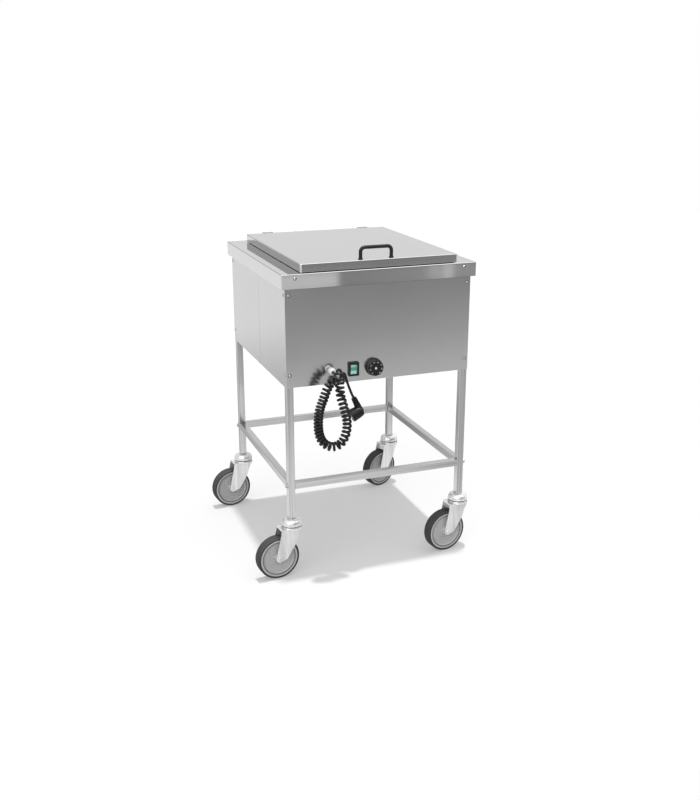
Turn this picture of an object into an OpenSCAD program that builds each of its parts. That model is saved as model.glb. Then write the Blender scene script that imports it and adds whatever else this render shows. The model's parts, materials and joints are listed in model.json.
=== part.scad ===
// Bain-marie trolley: a heated well in a sheet steel housing, on a square tube frame with four swivel casters.
// Millimetres, Z up. X runs to the trolley's right, Y to its back, and the origin is on the floor under the middle.

/* [Deck] */
// Width of the deck's border at the left and right of the well
deck_side = 133; // [120:1:150]
// Width of the deck's border in front of and behind the well
deck_end = 41; // [38:1:60]
// Height of the deck's top face above the floor
deck_z = 880; // [860:1:930]
// Height of the skirt around the deck
skirt_h = 40; // [30:1:50]
// Thickness of the deck, housing, lid and well sheet
sheet = 1; // [0.8:0.1:1.5]

/* [Housing] */
// Distance that the deck's skirt stands proud of the housing
housing_inset = 11; // [8:1:15]
// Height of the housing's lower edge above the floor
housing_z = 565; // [545:1:590]
// Distance of the side seam in front of the middle
seam_front = 24; // [0:1:60]
// Width of the lap behind the side seam
seam_lap = 18; // [10:1:30]
// Width of the flange turned in along the housing's lower edge
housing_flange = 15; // [8:1:20]

/* [Well] */
// Width of the well's mouth
well_w = 304; // [280:1:320]
// Depth of the well's mouth, front to back
well_d = 508; // [480:1:515]
// Depth of the well below the deck
well_depth = 200; // [150:1:205]
// Radius of the well's upright corners
well_r = 30; // [20:1:45]
// Width of the well's flange under the deck
well_flange = 12; // [8:1:20]
// Thickness of the insulation round the well
jacket_t = 16; // [8:1:20]

/* [Heating] */
// Diameter of the tubular heating element
element_d = 8; // [6.5:0.1:9]
// Distance between the element's runs
element_pitch = 70; // [60:1:76]
// Length of the element's straight runs
element_run = 390; // [300:1:400]
// Diameter of the thermostat's sensor bulb
bulb_d = 6; // [5:0.1:6.5]
// Length of the thermostat's sensor bulb
bulb_l = 90; // [60:1:120]

/* [Frame] */
// Outside width of the square leg and rail tube
tube = 20; // [18:0.5:24]
// Wall of the square tube
tube_wall = 1.5; // [1:0.1:2]
// Height of the rails' centre line above the floor
rail_z = 275; // [235:1:420]
// Thickness of the plastic flange at the ends of the side rails
plug_flange = 3; // [1:0.5:5]
// Diameter of the rail bolts
bolt_d = 8; // [5:0.5:8]

/* [Casters] */
// Diameter of the wheels
wheel_d = 125; // [110:1:128]
// Width of the tyres
wheel_w = 32; // [24:1:36]
// Thickness of the tyres
tyre_t = 5.5; // [4:0.5:12]
// Diameter of the axles
axle_d = 8; // [6:0.5:12]
// Distance of the axle behind the swivel axis
trail = 46; // [36:1:50]
// Thickness of the fork plates
fork_t = 2.5; // [2:0.1:4]
// Diameter of the fork crown
crown_d = 60; // [54:1:64]
// Height of the fork crown's top above the floor
crown_z = 151; // [148:1:160]
// Height of the swivel head between the fork crown and the leg
head_h = 23; // [20:1:30]
// Turn of the front left caster from straight left
turn_front_left = 6; // [-180:1:180]
// Turn of the front right caster from straight left
turn_front_right = 8; // [-180:1:180]
// Turn of the back left caster from straight left
turn_back_left = 6; // [-180:1:180]
// Turn of the back right caster from straight left
turn_back_right = 20; // [-180:1:180]

/* [Controls] */
// Height of the controls above the housing's lower edge
control_rise = 37; // [32:1:45]
// Distance of the thermostat knob left of the middle
knob_left = 18; // [0:1:22]
// Diameter of the knob's skirt
knob_d = 52; // [44:1:56]
// Height of the knob
knob_h = 18; // [14:1:24]
// Diameter of the thermostat's spindle
spindle_d = 6; // [5:0.1:7]
// Distance of the switch left of the middle
switch_left = 79; // [72:1:88]
// Width of the switch bezel
bezel_w = 30; // [28:0.5:34]
// Height of the switch bezel
bezel_h = 39; // [36:0.5:42]
// Distance that the bezel stands proud of the housing
bezel_t = 8; // [6:0.5:10]
// Width of the rocker
rocker_w = 20.4; // [16:0.1:22]
// Height of the rocker
rocker_h = 26; // [22:0.5:27]
// Angle that the rocker leans at rest, half of its travel
rocker_tilt = 8; // [5:1:10]

/* [Lid] */
// Distance from the deck's left and right edges to the lid
lid_side = 55; // [40:1:70]
// Distance from the deck's front edge to the lid
lid_front = 8; // [5:1:12]
// Distance from the deck's back edge to the lid
lid_rear = 30; // [28:1:36]
// Height of the lid
lid_h = 24; // [20:1:30]
// Width of the hem turned in along the lid's lower edge
lid_hem = 6; // [3:1:10]
// Radius of the lid's upright corners
lid_r = 5; // [3:0.5:10]
// Diameter of the handle's rod
handle_d = 10; // [8:0.5:12]
// Distance between the handle's feet, centre to centre
handle_span = 90; // [80:1:128]
// Height of the handle's rod centre above the lid
handle_rise = 31; // [26:1:40]
// Radius of the handle's bends, to the rod's centre
handle_bend = 12; // [8:0.5:16]
// Distance from the lid's front edge to the handle
handle_back = 18; // [14:1:40]
// Distance of the handle left of the middle
handle_left = 8; // [0:1:20]

/* [Hinges] */
// Distance of each hinge from the middle
hinge_x = 159; // [120:1:200]
// Length of each hinge
hinge_l = 34; // [28:1:60]
// Outside diameter of the hinge knuckles
knuckle_d = 9; // [8:0.5:10]
// Diameter of the hinge pins
pin_d = 4.4; // [3:0.1:5]
// Thickness of the hinge leaves
leaf_t = 2; // [1.5:0.1:2.5]

/* [Cord] */
// Diameter of the cord
cord_d = 7.4; // [6:0.1:7.5]
// Outside diameter of the cord's curls
curl_d = 27.5; // [25:0.5:29]
// Number of curls
curls = 40; // [20:1:41]
// Length of the gland outside the housing
gland_l = 22; // [20:1:24]
// Diameter of the gland's barrel
gland_d = 20; // [16:0.5:20]

/* [Clearances] */
// Gap between the lid and the deck, and beside the hinge knuckles
rest_gap = 0.3; // [0.3:0.05:0.6]
// Radial gap of a running shaft in its bore
run_gap = 0.05; // [0.02:0.01:0.1]
// Radial gap of a screw or bolt in its hole
hole_gap = 0.1; // [0.05:0.05:0.3]
// Gap between sheets and tubes that pass each other
pass_gap = 0.4; // [0.2:0.05:0.8]

/* [Hidden] */
$fn = 64;
deck_w = well_w + 2 * deck_side;
deck_d = well_d + 2 * deck_end;
lid_w = deck_w - 2 * lid_side;
lid_d = deck_d - lid_front - lid_rear;
housing_w = deck_w - 2 * housing_inset;
housing_d = deck_d - 2 * housing_inset;
front_y = -housing_d / 2;
seam_y = -seam_front;
seam_slit = 0.6;
leg_x = housing_w / 2 - sheet - tube / 2;
leg_y = housing_d / 2 - sheet - tube / 2;
leg_top = deck_z - sheet;
leg_z = crown_z + head_h;
tube_in = tube - 2 * tube_wall;
floor_z = deck_z - well_depth;
control_z = housing_z + control_rise;

// Screws that hold the housing to the legs
screw_r = 2;
screw_head_r = 4;
screw_head_t = 2.2;
screw_l = 5.5;
screw_low = 35;
screw_high = 18;
screw_zs = [housing_z + screw_low, deck_z - skirt_h - screw_high];

// Rivets in the deck's skirt
rivet_r = 1.6;
rivet_head_r = 3.6;
rivet_head_t = 1.4;
rivet_l = 4;
rivet_in = 38;
rivet_down = 12;
rivet_x = deck_w / 2 - rivet_in;
rivet_z = deck_z - rivet_down;

// Rail bolts and end plugs
bolt_head_r = bolt_d * 0.875;
bolt_head_t = bolt_d * 0.66;
washer_r = bolt_d;
washer_t = 1.2;
plug_w = tube_in - 0.3;
plug_l = 22;
bolt_grip = 18;
spigot_r = 4;
spigot_l = tube_wall + 2;

// Heating element, clamps and sensor
element_r = element_d / 2;
element_gap = 0.2;
element_z = floor_z - sheet - element_gap - element_r;
element_bend = element_pitch / 2;
element_x = 1.5 * element_pitch;
element_inset = 54;
element_front = -well_d / 2 + element_inset;
element_back = element_front + element_run;
element_tail = 30;
element_drop = 28;
element_pin = 8;
clamp_l = 2 * element_x + 3 * element_d;
clamp_w = 20;
clamp_t = 2;
clamp_y = 115;
clamp_z = element_z - element_r - clamp_t;
stud_r = 2.5;
stud_x = element_pitch;
nut_t = 4;
nut_r = 4.6;
bulb_z = floor_z - sheet - element_gap - bulb_d / 2;
bulb_back = 20;
bulb_y = -clamp_y - bulb_back;
capillary_r = 1;
capillary_drop = 12;

// Thermostat and knob
knob_x = -knob_left;
knob_gap = 0.4;
knob_skirt_t = 5;
hub_r = knob_d * 0.385;
flutes = 12;
flute_r = 2.4;
spindle_r = spindle_d / 2;
spindle_in = 12;
thermo_w = 34;
thermo_l = 30;
thermo_plate_w = 46;
thermo_plate_h = 30;
thermo_plate_t = 1.5;
thermo_y = front_y + sheet + thermo_plate_t;

// Switch
switch_x = -switch_left;
rocker_back = 4;
rocker_front = 5;
rocker_dish = 1.4;
pivot_y = front_y - bezel_t + 4;
pivot_r = 1.5;
pivot_l = 1.2;
pocket_gap = 0.4;
pocket_w = rocker_w + 2 * pocket_gap;
pocket_h = rocker_h + 2;
pocket_back = pivot_y + rocker_back + rocker_h / 2 * sin(rocker_tilt) + pocket_gap;
cutout_w = pocket_w + 4;
cutout_h = pocket_h + 3.4;
switch_l = 26;
tab_w = 6;
tab_l = 8;
tab_t = 0.8;

// Terminal block and wires
block_w = 50;
block_d = 18;
block_h = 16;
block_y = front_y + 62;
block_hole_r = 2.5;
block_hole = 6;
wire_r = 1.6;
core_wire_r = 1;
core_wire_x = 2.1;
clamp_x = 10;
jacket_in = 40;
wire_rise = 12;
tab_x = 9;
wire_x = 20;
wire_in = 14;

// Lid and hinges
lid_y0 = -deck_d / 2 + lid_front;
lid_back = lid_y0 + lid_d;
lid_z = deck_z + rest_gap;
lid_top = lid_z + lid_h;
handle_x = -handle_left;
handle_y = lid_y0 + handle_back;
handle_screw_r = 2.5;
handle_screw_in = 10;
handle_head_r = 5;
handle_head_t = 3;
knuckle_r = knuckle_d / 2;
pin_r = pin_d / 2;
hinge_y = lid_back + leaf_t + knuckle_r - 0.5;
hinge_drop = 3.5;
hinge_z = lid_top - hinge_drop;
knuckle_gap = 0.4;
knuckle_mid = hinge_l * 0.45;
leaf_drop = 14;
foot_l = 18;
foot_screw_in = 5;
foot_screw_x = hinge_l * 0.3;
foot_screw_y = hinge_y + knuckle_r + foot_l - foot_screw_in;
foot_screw_r = 1.8;
foot_head_r = 3.4;
foot_head_t = 1.8;

// Casters
axle_z = wheel_d / 2;
wheel_r = wheel_d / 2;
axle_r = axle_d / 2;
core_r = wheel_r - tyre_t;
hub_half = wheel_w / 2 + 2;
hub_side_gap = 0.5;
fork_in = hub_half + hub_side_gap;
fork_out = fork_in + fork_t;
tip_r = 10.5;
fork_back = 38;
fork_nose = 22;
crown_t = 6;
race_r = crown_d / 2 - 3;
race_t = 2;
race_gap = 0.6;
cap_r = crown_d / 2 - 0.5;
cap_z = crown_z + race_t + race_gap;
cap_wall = 5;
cap_lip = 9;
king_r = 6;
king_head_r = 11;
king_head_t = 4;
stem_w = tube_in - 0.4;
stem_l = 38;
axle_head_r = axle_d * 0.75;
axle_head_t = 1.3;
hub_wall = 9;
rim_wall = 9;
rim_side = 1.5;
web_side = 6;
web_flare = 3;
// Front edge of a fork plate, from under the axle up to the crown, seen from the axle
FORK_EDGE = [[22, -4.5], [36, 16.5], [51, 40.5], [57, 61.5]];
TURNS = [[turn_front_left, turn_front_right], [turn_back_left, turn_back_right]];

// Gland
gland_x = -146;
gland_z = control_z + 2;
gland_hex_r = gland_d * 0.65;
gland_hex_t = 5;
gland_taper = 4;
gland_thread_r = gland_d * 0.4;
gland_in = 12;
gland_nut_t = 5;
gland_end = front_y - gland_l;
gland_bore_r = cord_d / 2 + 0.1;

// Plug: the middle of its flat face, the lean of its neck, and its parts' sizes
plug_at = [-91, -299, 469];
plug_lean = 26;
plug_r = 18.5;
plug_band = 10;
plug_depth = 36;
plug_nose = 13;
neck_in = 30;
neck_top = 44;
neck_r0 = 10.5;
neck_r1 = 7.5;
pin_l = 19;
pin_rad = 2.4;
pin_pitch = 19;
plug_up = [-sin(plug_lean), 0, cos(plug_lean)];
plug_out = [cos(plug_lean), 0, sin(plug_lean)];
plug_mouth = plug_at + neck_in * plug_out + neck_top * plug_up;

// Route of the cord's centre: out of the gland and back under itself, down and up as a hanging loop
// of curls, up behind its own start, and over to the plug
cord_r = cord_d / 2;
coil_r = (curl_d - cord_d) / 2;
ROUTE = [
    [gland_x, gland_end, gland_z], [gland_x, gland_end - 5, gland_z], [gland_x, gland_end - 10, gland_z],
    [-143, -324, 605], [-136, -328, 606], [-129, -331, 604], [-125, -333, 598], [-127, -334, 592],
    [-136, -335, 590], [-148, -335, 590], [-159, -334, 586], [-168, -334, 577], [-174, -333, 565],
    [-184, -332, 538], [-192, -331, 517], [-197, -330, 492], [-198, -329, 462], [-194, -328, 434],
    [-183, -327, 412], [-165, -326, 398], [-146, -326, 396], [-130, -327, 405], [-120, -328, 422],
    [-115, -329, 442], [-114, -329, 461], [-117, -329, 482], [-122, -328, 502], [-126, -327, 519],
    [-130, -325, 535], [-131, -319, 555], [-129, -310, 572], [-125, -304, 585],
    [-122, -302, 592], [-118, -301, 597], [-113, -301, 597], [-109, -301, 590], [-106, -301, 578],
    [-98, -300, 556],
    plug_mouth + 14 * plug_up, plug_mouth + 7 * plug_up, plug_mouth];
COIL_FROM = 8;
COIL_TO = 31;
// Spacing of the curls along the coil: share of its length, spacing
SPACING = [[0, 13.4], [0.1, 12], [0.18, 9.4], [0.38, 9.4], [0.46, 12.8], [0.6, 13.2], [0.7, 11.8], [1, 13.4]];
curl_rings = 8;
cord_sides = 6;
plain_step = 4;

// A cylinder along X, from x0 to x1
module rod_x(r, x0, x1) {
    translate([x0, 0, 0]) rotate([0, 90, 0]) cylinder(r = r, h = x1 - x0);
}

// A cylinder along Y, from y0 to y1
module rod_y(r, y0, y1) {
    translate([0, y0, 0]) rotate([-90, 0, 0]) cylinder(r = r, h = y1 - y0);
}

// A block between two corners
module block(lo, hi) {
    translate(lo) cube(hi - lo);
}

// A flat rectangle with round corners
module rounded(w, d, r) {
    square([w - 2 * r, d], center = true);
    square([w, d - 2 * r], center = true);
    for (x = [-1, 1], y = [-1, 1])
        translate([x * (w / 2 - r), y * (d / 2 - r)]) circle(r);
}

// Square tube standing on its end
module square_tube(l) {
    linear_extrude(l) difference() {
        square(tube, center = true);
        square(tube_in, center = true);
    }
}

// A thin rod along straight stretches, with a bead at each elbow
module wire(points, r) {
    for (i = [0 : len(points) - 2]) {
        span = points[i + 1] - points[i];
        l = norm(span);
        translate(points[i])
            rotate([0, acos(span.z / l), atan2(span.y, span.x)]) cylinder(r = r, h = l, $fn = 16);
    }
    if (len(points) > 2)
        for (i = [1 : len(points) - 2])
            translate(points[i]) sphere(r * 1.15, $fn = 16);
}

// Part of a ring lying flat
module bend(at, big_r, small_r, from, turn) {
    translate(at) rotate([0, 0, from]) rotate_extrude(angle = turn) translate([big_r, 0]) circle(small_r);
}

// Shanks or heads of the housing screws, with the given start and end outside the panel
module screws_at(r, from, to) {
    for (sx = [-1, 1], sy = [-1, 1], z = screw_zs) {
        translate([0, sy * leg_y, z])
            rod_x(r, sx > 0 ? housing_w / 2 + from : -housing_w / 2 - to,
                sx > 0 ? housing_w / 2 + to : -housing_w / 2 - from);
        translate([sx * leg_x, 0, z])
            rod_y(r, sy > 0 ? housing_d / 2 + from : -housing_d / 2 - to,
                sy > 0 ? housing_d / 2 + to : -housing_d / 2 - from);
    }
}

module leg(sx, sy) {
    color("silver") difference() {
        translate([sx * leg_x, sy * leg_y, leg_z]) square_tube(leg_top - leg_z);
        translate([sx * leg_x, sy * leg_y, rail_z]) rod_x(bolt_d / 2 + hole_gap, -tube, tube);
        translate([sx * leg_x, sy * (leg_y - tube / 2), rail_z])
            rod_y(spigot_r + hole_gap, -2 * tube_wall, 2 * tube_wall);
        screws_at(screw_r + hole_gap, -screw_l, 1);
    }
}

module rail_x(sy) {
    l = 2 * leg_x - tube;
    color("silver") translate([-l / 2, sy * leg_y, rail_z]) rotate([0, 90, 0]) square_tube(l);
}

module rail_y(sx) {
    l = 2 * leg_y - tube - 2 * plug_flange;
    color("silver") translate([sx * leg_x, -l / 2, rail_z]) rotate([-90, 0, 0]) square_tube(l);
}

module rail_end_plugs() {
    x_end = leg_x - tube / 2;
    y_end = leg_y - tube / 2;
    color("dimgray") {
        for (sx = [-1, 1], sy = [-1, 1]) {
            translate([sx * (x_end - plug_l / 2), sy * leg_y, rail_z]) difference() {
                cube([plug_l, plug_w, plug_w], center = true);
                rod_x(bolt_d / 2 + hole_gap, -plug_l, plug_l);
            }
            translate([sx * leg_x, sy * y_end, rail_z]) scale_y(-sy) {
                translate([-tube / 2 + 0.5, 0, -tube / 2 + 0.5]) cube([tube - 1, plug_flange, tube - 1]);
                translate([-plug_w / 2, 0, -plug_w / 2]) cube([plug_w, plug_l, plug_w]);
                rod_y(spigot_r, -spigot_l, 1);
            }
        }
    }
}

// Turns its children to face the other way along Y
module scale_y(s) {
    if (s < 0) mirror([0, 1, 0]) children();
    else children();
}

module rail_bolts() {
    color("lightgray") for (sx = [-1, 1], sy = [-1, 1])
        translate([sx * (leg_x + tube / 2), sy * leg_y, rail_z]) rotate([0, sx > 0 ? 0 : 180, 0]) {
            rod_x(bolt_d / 2, -tube - bolt_grip, washer_t);
            rod_x(washer_r, 0, washer_t);
            rotate([0, 90, 0]) translate([0, 0, washer_t]) cylinder(r = bolt_head_r, h = bolt_head_t, $fn = 6);
        }
}

module top_deck() {
    lip_w = housing_w + 2 * rest_gap;
    lip_d = housing_d + 2 * rest_gap;
    color("gainsboro") difference() {
        block([-deck_w / 2, -deck_d / 2, deck_z - skirt_h], [deck_w / 2, deck_d / 2, deck_z]);
        block([-deck_w / 2 + sheet, -deck_d / 2 + sheet, deck_z - skirt_h + sheet],
            [deck_w / 2 - sheet, deck_d / 2 - sheet, deck_z - sheet]);
        block([-lip_w / 2, -lip_d / 2, deck_z - skirt_h - 1], [lip_w / 2, lip_d / 2, deck_z - skirt_h + 2]);
        translate([0, 0, deck_z - 2 * sheet]) linear_extrude(4 * sheet) rounded(well_w, well_d, well_r);
        for (sx = [-1, 1], sy = [-1, 1])
            translate([sx * rivet_x, sy * deck_d / 2, rivet_z]) rod_y(rivet_r + hole_gap, -2 * sheet, 2 * sheet);
        for (sx = [-1, 1], k = [-1, 1])
            translate([sx * hinge_x + k * foot_screw_x, foot_screw_y, deck_z - 2 * sheet])
                cylinder(r = foot_screw_r + hole_gap, h = 3 * sheet);
    }
}

module deck_rivets() {
    color("silver") for (sx = [-1, 1], sy = [-1, 1])
        translate([sx * rivet_x, sy * deck_d / 2, rivet_z]) scale_y(sy) {
            rod_y(rivet_r, -rivet_l, 0.1);
            rod_y(rivet_head_r, 0, rivet_head_t);
        }
}

// A wall bent round three sides, from the front or back face to y_end, with a flange along its lower edge
module half_shell(sy, y_end) {
    y_out = sy * housing_d / 2;
    y_in = y_out - sy * sheet;
    y_lo = min(y_out, y_end);
    y_hi = max(y_out, y_end);
    in_w = housing_w - 2 * sheet;
    in_d = housing_d - 2 * sheet;
    hole_w = tube + 2 * pass_gap;
    flange_w = in_w - 2 * housing_flange;
    difference() {
        block([-housing_w / 2, y_lo, housing_z], [housing_w / 2, y_hi, leg_top]);
        block([-in_w / 2, sy < 0 ? y_in : y_lo - 1, housing_z + sheet],
            [in_w / 2, sy < 0 ? y_hi + 1 : y_in, leg_top + 1]);
        block([-flange_w / 2, sy < 0 ? y_in + housing_flange : y_lo - 1, housing_z - 1],
            [flange_w / 2, sy < 0 ? y_hi + 1 : y_in - housing_flange, housing_z + 2 * sheet]);
        intersection() {
            block([-in_w / 2, -in_d / 2, housing_z - 2], [in_w / 2, in_d / 2, housing_z + 4 * sheet]);
            for (sx = [-1, 1])
                translate([sx * leg_x - hole_w / 2, sy * leg_y - hole_w / 2, housing_z - 1])
                    cube([hole_w, hole_w, 4 * sheet]);
        }
        screws_at(screw_r + hole_gap, -2 * sheet, 1);
    }
}

module front_shell() {
    color("darkgray") difference() {
        half_shell(-1, seam_y);
        translate([gland_x, front_y, gland_z]) rod_y(gland_thread_r + hole_gap, -2 * sheet, 2 * sheet);
        translate([knob_x, front_y, control_z]) rod_y(spindle_r + 1.5, -2 * sheet, 2 * sheet);
        block([switch_x - cutout_w / 2 - pass_gap, front_y - 1, control_z - cutout_h / 2 - pass_gap],
            [switch_x + cutout_w / 2 + pass_gap, front_y + 2 * sheet, control_z + cutout_h / 2 + pass_gap]);
    }
}

module rear_shell() {
    lap_in = housing_w / 2 - 2 * sheet;
    color("darkgray") {
        half_shell(1, seam_y + seam_slit);
        for (sx = [-1, 1])
            block([sx > 0 ? lap_in : -lap_in - sheet, seam_y - seam_lap, housing_z + 3 * sheet],
                [sx > 0 ? lap_in + sheet : -lap_in, seam_y + seam_lap, leg_top - pass_gap]);
    }
}

module shell_screws() {
    color("silver") {
        screws_at(screw_r, -screw_l, 0.1);
        screws_at(screw_head_r, 0, screw_head_t);
    }
}

module bottom_plate() {
    w = housing_w - 2 * sheet - 2 * pass_gap;
    d = housing_d - 2 * sheet - 2 * pass_gap;
    side = tube + 2 * pass_gap;
    color("darkgray") difference() {
        translate([-w / 2, -d / 2, housing_z + sheet]) cube([w, d, sheet]);
        for (sx = [-1, 1], sy = [-1, 1])
            translate([sx * leg_x - side / 2, sy * leg_y - side / 2, housing_z]) cube([side, side, 4 * sheet]);
    }
}

module well() {
    color("gainsboro") difference() {
        union() {
            translate([0, 0, floor_z - sheet]) linear_extrude(well_depth)
                rounded(well_w + 2 * sheet, well_d + 2 * sheet, well_r + sheet);
            translate([0, 0, deck_z - 2 * sheet]) linear_extrude(sheet)
                rounded(well_w + 2 * well_flange, well_d + 2 * well_flange, well_r + well_flange);
        }
        translate([0, 0, floor_z]) linear_extrude(well_depth + sheet) rounded(well_w, well_d, well_r);
    }
}

module insulation() {
    in_w = well_w + 2 * sheet + 2 * rest_gap;
    in_d = well_d + 2 * sheet + 2 * rest_gap;
    in_r = well_r + sheet + rest_gap;
    low = floor_z + 10;
    color("khaki") translate([0, 0, low]) linear_extrude(deck_z - 2 * sheet - low) difference() {
        rounded(in_w + 2 * jacket_t, in_d + 2 * jacket_t, in_r + jacket_t);
        rounded(in_w, in_d, in_r);
    }
}

module heating_element() {
    half = element_pitch / 2;
    color("dimgray") {
        for (x = [-3, -1, 1, 3])
            translate([x * half, 0, element_z]) rod_y(element_r, element_front, element_back);
        bend([-element_pitch, element_back, element_z], element_bend, element_r, 0, 180);
        bend([element_pitch, element_back, element_z], element_bend, element_r, 0, 180);
        bend([0, element_front, element_z], element_bend, element_r, 180, 180);
        for (sx = [-1, 1]) translate([sx * element_x, 0, element_z]) {
            rod_y(element_r, element_front - element_tail, element_front);
            translate([0, element_front - element_tail, 0]) {
                sphere(element_r);
                translate([0, 0, -element_drop]) cylinder(r = element_r, h = element_drop);
                translate([0, 0, -element_drop - element_pin]) cylinder(r = element_r / 2, h = element_pin + 1);
            }
        }
    }
}

module element_clamps() {
    color("silver") for (y = [-clamp_y, clamp_y]) {
        translate([-clamp_l / 2, y - clamp_w / 2, clamp_z]) cube([clamp_l, clamp_w, clamp_t]);
        for (sx = [-1, 1]) translate([sx * stud_x, y, 0]) {
            translate([0, 0, clamp_z - nut_t - 1]) cylinder(r = stud_r, h = floor_z - sheet - clamp_z + nut_t + 1);
            translate([0, 0, clamp_z - nut_t]) cylinder(r = nut_r, h = nut_t, $fn = 6);
        }
    }
}

module thermostat_sensor() {
    top = control_z + thermo_w / 2;
    y = thermo_y + thermo_l / 2;
    low = bulb_z - capillary_drop;
    color("peru") {
        translate([0, 0, bulb_z]) rod_y(bulb_d / 2, bulb_y, bulb_y + bulb_l);
        wire([[0, bulb_y + 1, bulb_z], [0, bulb_y - bulb_d, low], [0, y, low], [knob_x, y, low - bulb_back],
            [knob_x, y, top]], capillary_r);
    }
}

module thermostat_body() {
    color("dimgray") translate([knob_x, 0, control_z]) difference() {
        union() {
            block([-thermo_plate_w / 2, front_y + sheet, -thermo_plate_h / 2],
                [thermo_plate_w / 2, thermo_y, thermo_plate_h / 2]);
            block([-thermo_w / 2, thermo_y, -thermo_w / 2], [thermo_w / 2, thermo_y + thermo_l, thermo_w / 2]);
            for (k = [-1, 1])
                block([k * tab_x - tab_w / 2, thermo_y + thermo_l, -tab_t / 2],
                    [k * tab_x + tab_w / 2, thermo_y + thermo_l + tab_l, tab_t / 2]);
        }
        rod_y(spindle_r + run_gap, front_y, thermo_y + spindle_in + 1);
    }
}

module thermostat_spindle() {
    tip = front_y - knob_gap - spindle_in;
    color("silver") translate([knob_x, 0, control_z]) rod_y(spindle_r, tip, thermo_y + spindle_in);
}

module thermostat_knob() {
    back = front_y - knob_gap;
    color([0.12, 0.12, 0.12]) translate([knob_x, 0, control_z]) difference() {
        union() {
            rod_y(knob_d / 2, back - knob_skirt_t, back);
            rod_y(hub_r, back - knob_h, back);
        }
        for (i = [0 : flutes - 1]) rotate([0, (i + 0.5) * 360 / flutes, 0])
            translate([hub_r + 0.8, 0, 0]) rod_y(flute_r, back - knob_h - 1, back - knob_skirt_t);
        rod_y(spindle_r + run_gap, back - spindle_in - 0.5, back + 1);
    }
}

module switch_housing() {
    face = front_y - bezel_t;
    color([0.12, 0.12, 0.12]) translate([switch_x, 0, control_z]) difference() {
        union() {
            block([-bezel_w / 2, face, -bezel_h / 2], [bezel_w / 2, front_y, bezel_h / 2]);
            block([-cutout_w / 2, front_y - 0.1, -cutout_h / 2],
                [cutout_w / 2, front_y + switch_l, cutout_h / 2]);
            for (z = [-tab_x, 0, tab_x])
                block([-tab_w / 2, front_y + switch_l - 0.1, z - tab_t / 2],
                    [tab_w / 2, front_y + switch_l + tab_l, z + tab_t / 2]);
        }
        block([-pocket_w / 2, face - 1, -pocket_h / 2], [pocket_w / 2, pocket_back, pocket_h / 2]);
        translate([0, pivot_y, 0])
            rod_x(pivot_r + run_gap, -rocker_w / 2 - pivot_l - pocket_gap, rocker_w / 2 + pivot_l + pocket_gap);
    }
}

module switch_rocker() {
    top = rocker_h / 2;
    color("seagreen") translate([switch_x, pivot_y, control_z]) rotate([rocker_tilt, 0, 0]) {
        rotate([90, 0, 90]) translate([0, 0, -rocker_w / 2]) linear_extrude(rocker_w)
            polygon([[-rocker_front, top], [-rocker_front + rocker_dish, 0], [-rocker_front, -top],
                [rocker_back, -top], [rocker_back, top]]);
        rod_x(pivot_r, -rocker_w / 2 - pivot_l, rocker_w / 2 + pivot_l);
    }
}

module terminal_block() {
    z = housing_z + 2 * sheet;
    color("whitesmoke") translate([gland_x - block_w / 2, block_y, z]) difference() {
        cube([block_w, block_d, block_h]);
        for (i = [0 : 4]) translate([(i + 0.5) * block_w / 5, block_d / 2, block_h - block_hole])
            cylinder(r = block_hole_r, h = block_hole + 1);
    }
}

module wiring_loom() {
    jacket_end = front_y + jacket_in;
    y_back = front_y + switch_l + tab_l;
    y_thermo = thermo_y + thermo_l + tab_l;
    block_top = housing_z + 2 * sheet + block_h;
    wire_y = block_y + wire_in;
    rise_z = gland_z + wire_rise;
    heat_y = element_front - element_tail;
    heat_z = element_z - element_drop - element_pin;
    color("saddlebrown") {
        translate([gland_x, 0, gland_z]) rod_y(cord_r, gland_end, jacket_end);
        for (i = [-1, 0, 1])
            wire([[gland_x + core_wire_x * i, jacket_end - 1, gland_z],
                [gland_x + clamp_x * i, block_y + 5, block_top]], core_wire_r);
        wire([[gland_x + wire_x, wire_y, block_top], [gland_x + wire_x, wire_y, rise_z],
            [switch_x, y_back, rise_z], [switch_x, y_back, control_z + tab_x]], wire_r);
        wire([[switch_x, y_back, control_z], [knob_x - tab_x, y_thermo, control_z]], wire_r);
        wire([[knob_x + tab_x, y_thermo, control_z], [element_x, heat_y, heat_z]], wire_r);
        wire([[gland_x - wire_x, wire_y, block_top], [-element_x, heat_y, heat_z]], wire_r);
    }
}

module cable_gland() {
    color("gainsboro") translate([gland_x, 0, gland_z]) difference() {
        union() {
            rotate([90, 0, 0]) translate([0, 0, -front_y]) cylinder(r = gland_hex_r, h = gland_hex_t, $fn = 6);
            rod_y(gland_d / 2, gland_end + gland_taper, front_y - gland_hex_t + 0.1);
            translate([0, gland_end + gland_taper, 0]) rotate([90, 0, 0])
                cylinder(r1 = gland_d / 2, r2 = gland_d / 2 - 2.5, h = gland_taper);
            rod_y(gland_thread_r, front_y - 0.1, front_y + gland_in);
        }
        rod_y(gland_bore_r, gland_end - 1, front_y + gland_in + 1);
    }
}

module gland_locknut() {
    color("gainsboro") translate([gland_x, 0, gland_z]) difference() {
        rotate([90, 0, 0]) translate([0, 0, -front_y - sheet - gland_nut_t])
            cylinder(r = gland_hex_r, h = gland_nut_t, $fn = 6);
        rod_y(gland_thread_r + hole_gap, front_y, front_y + 2 * sheet + gland_nut_t);
    }
}

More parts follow.
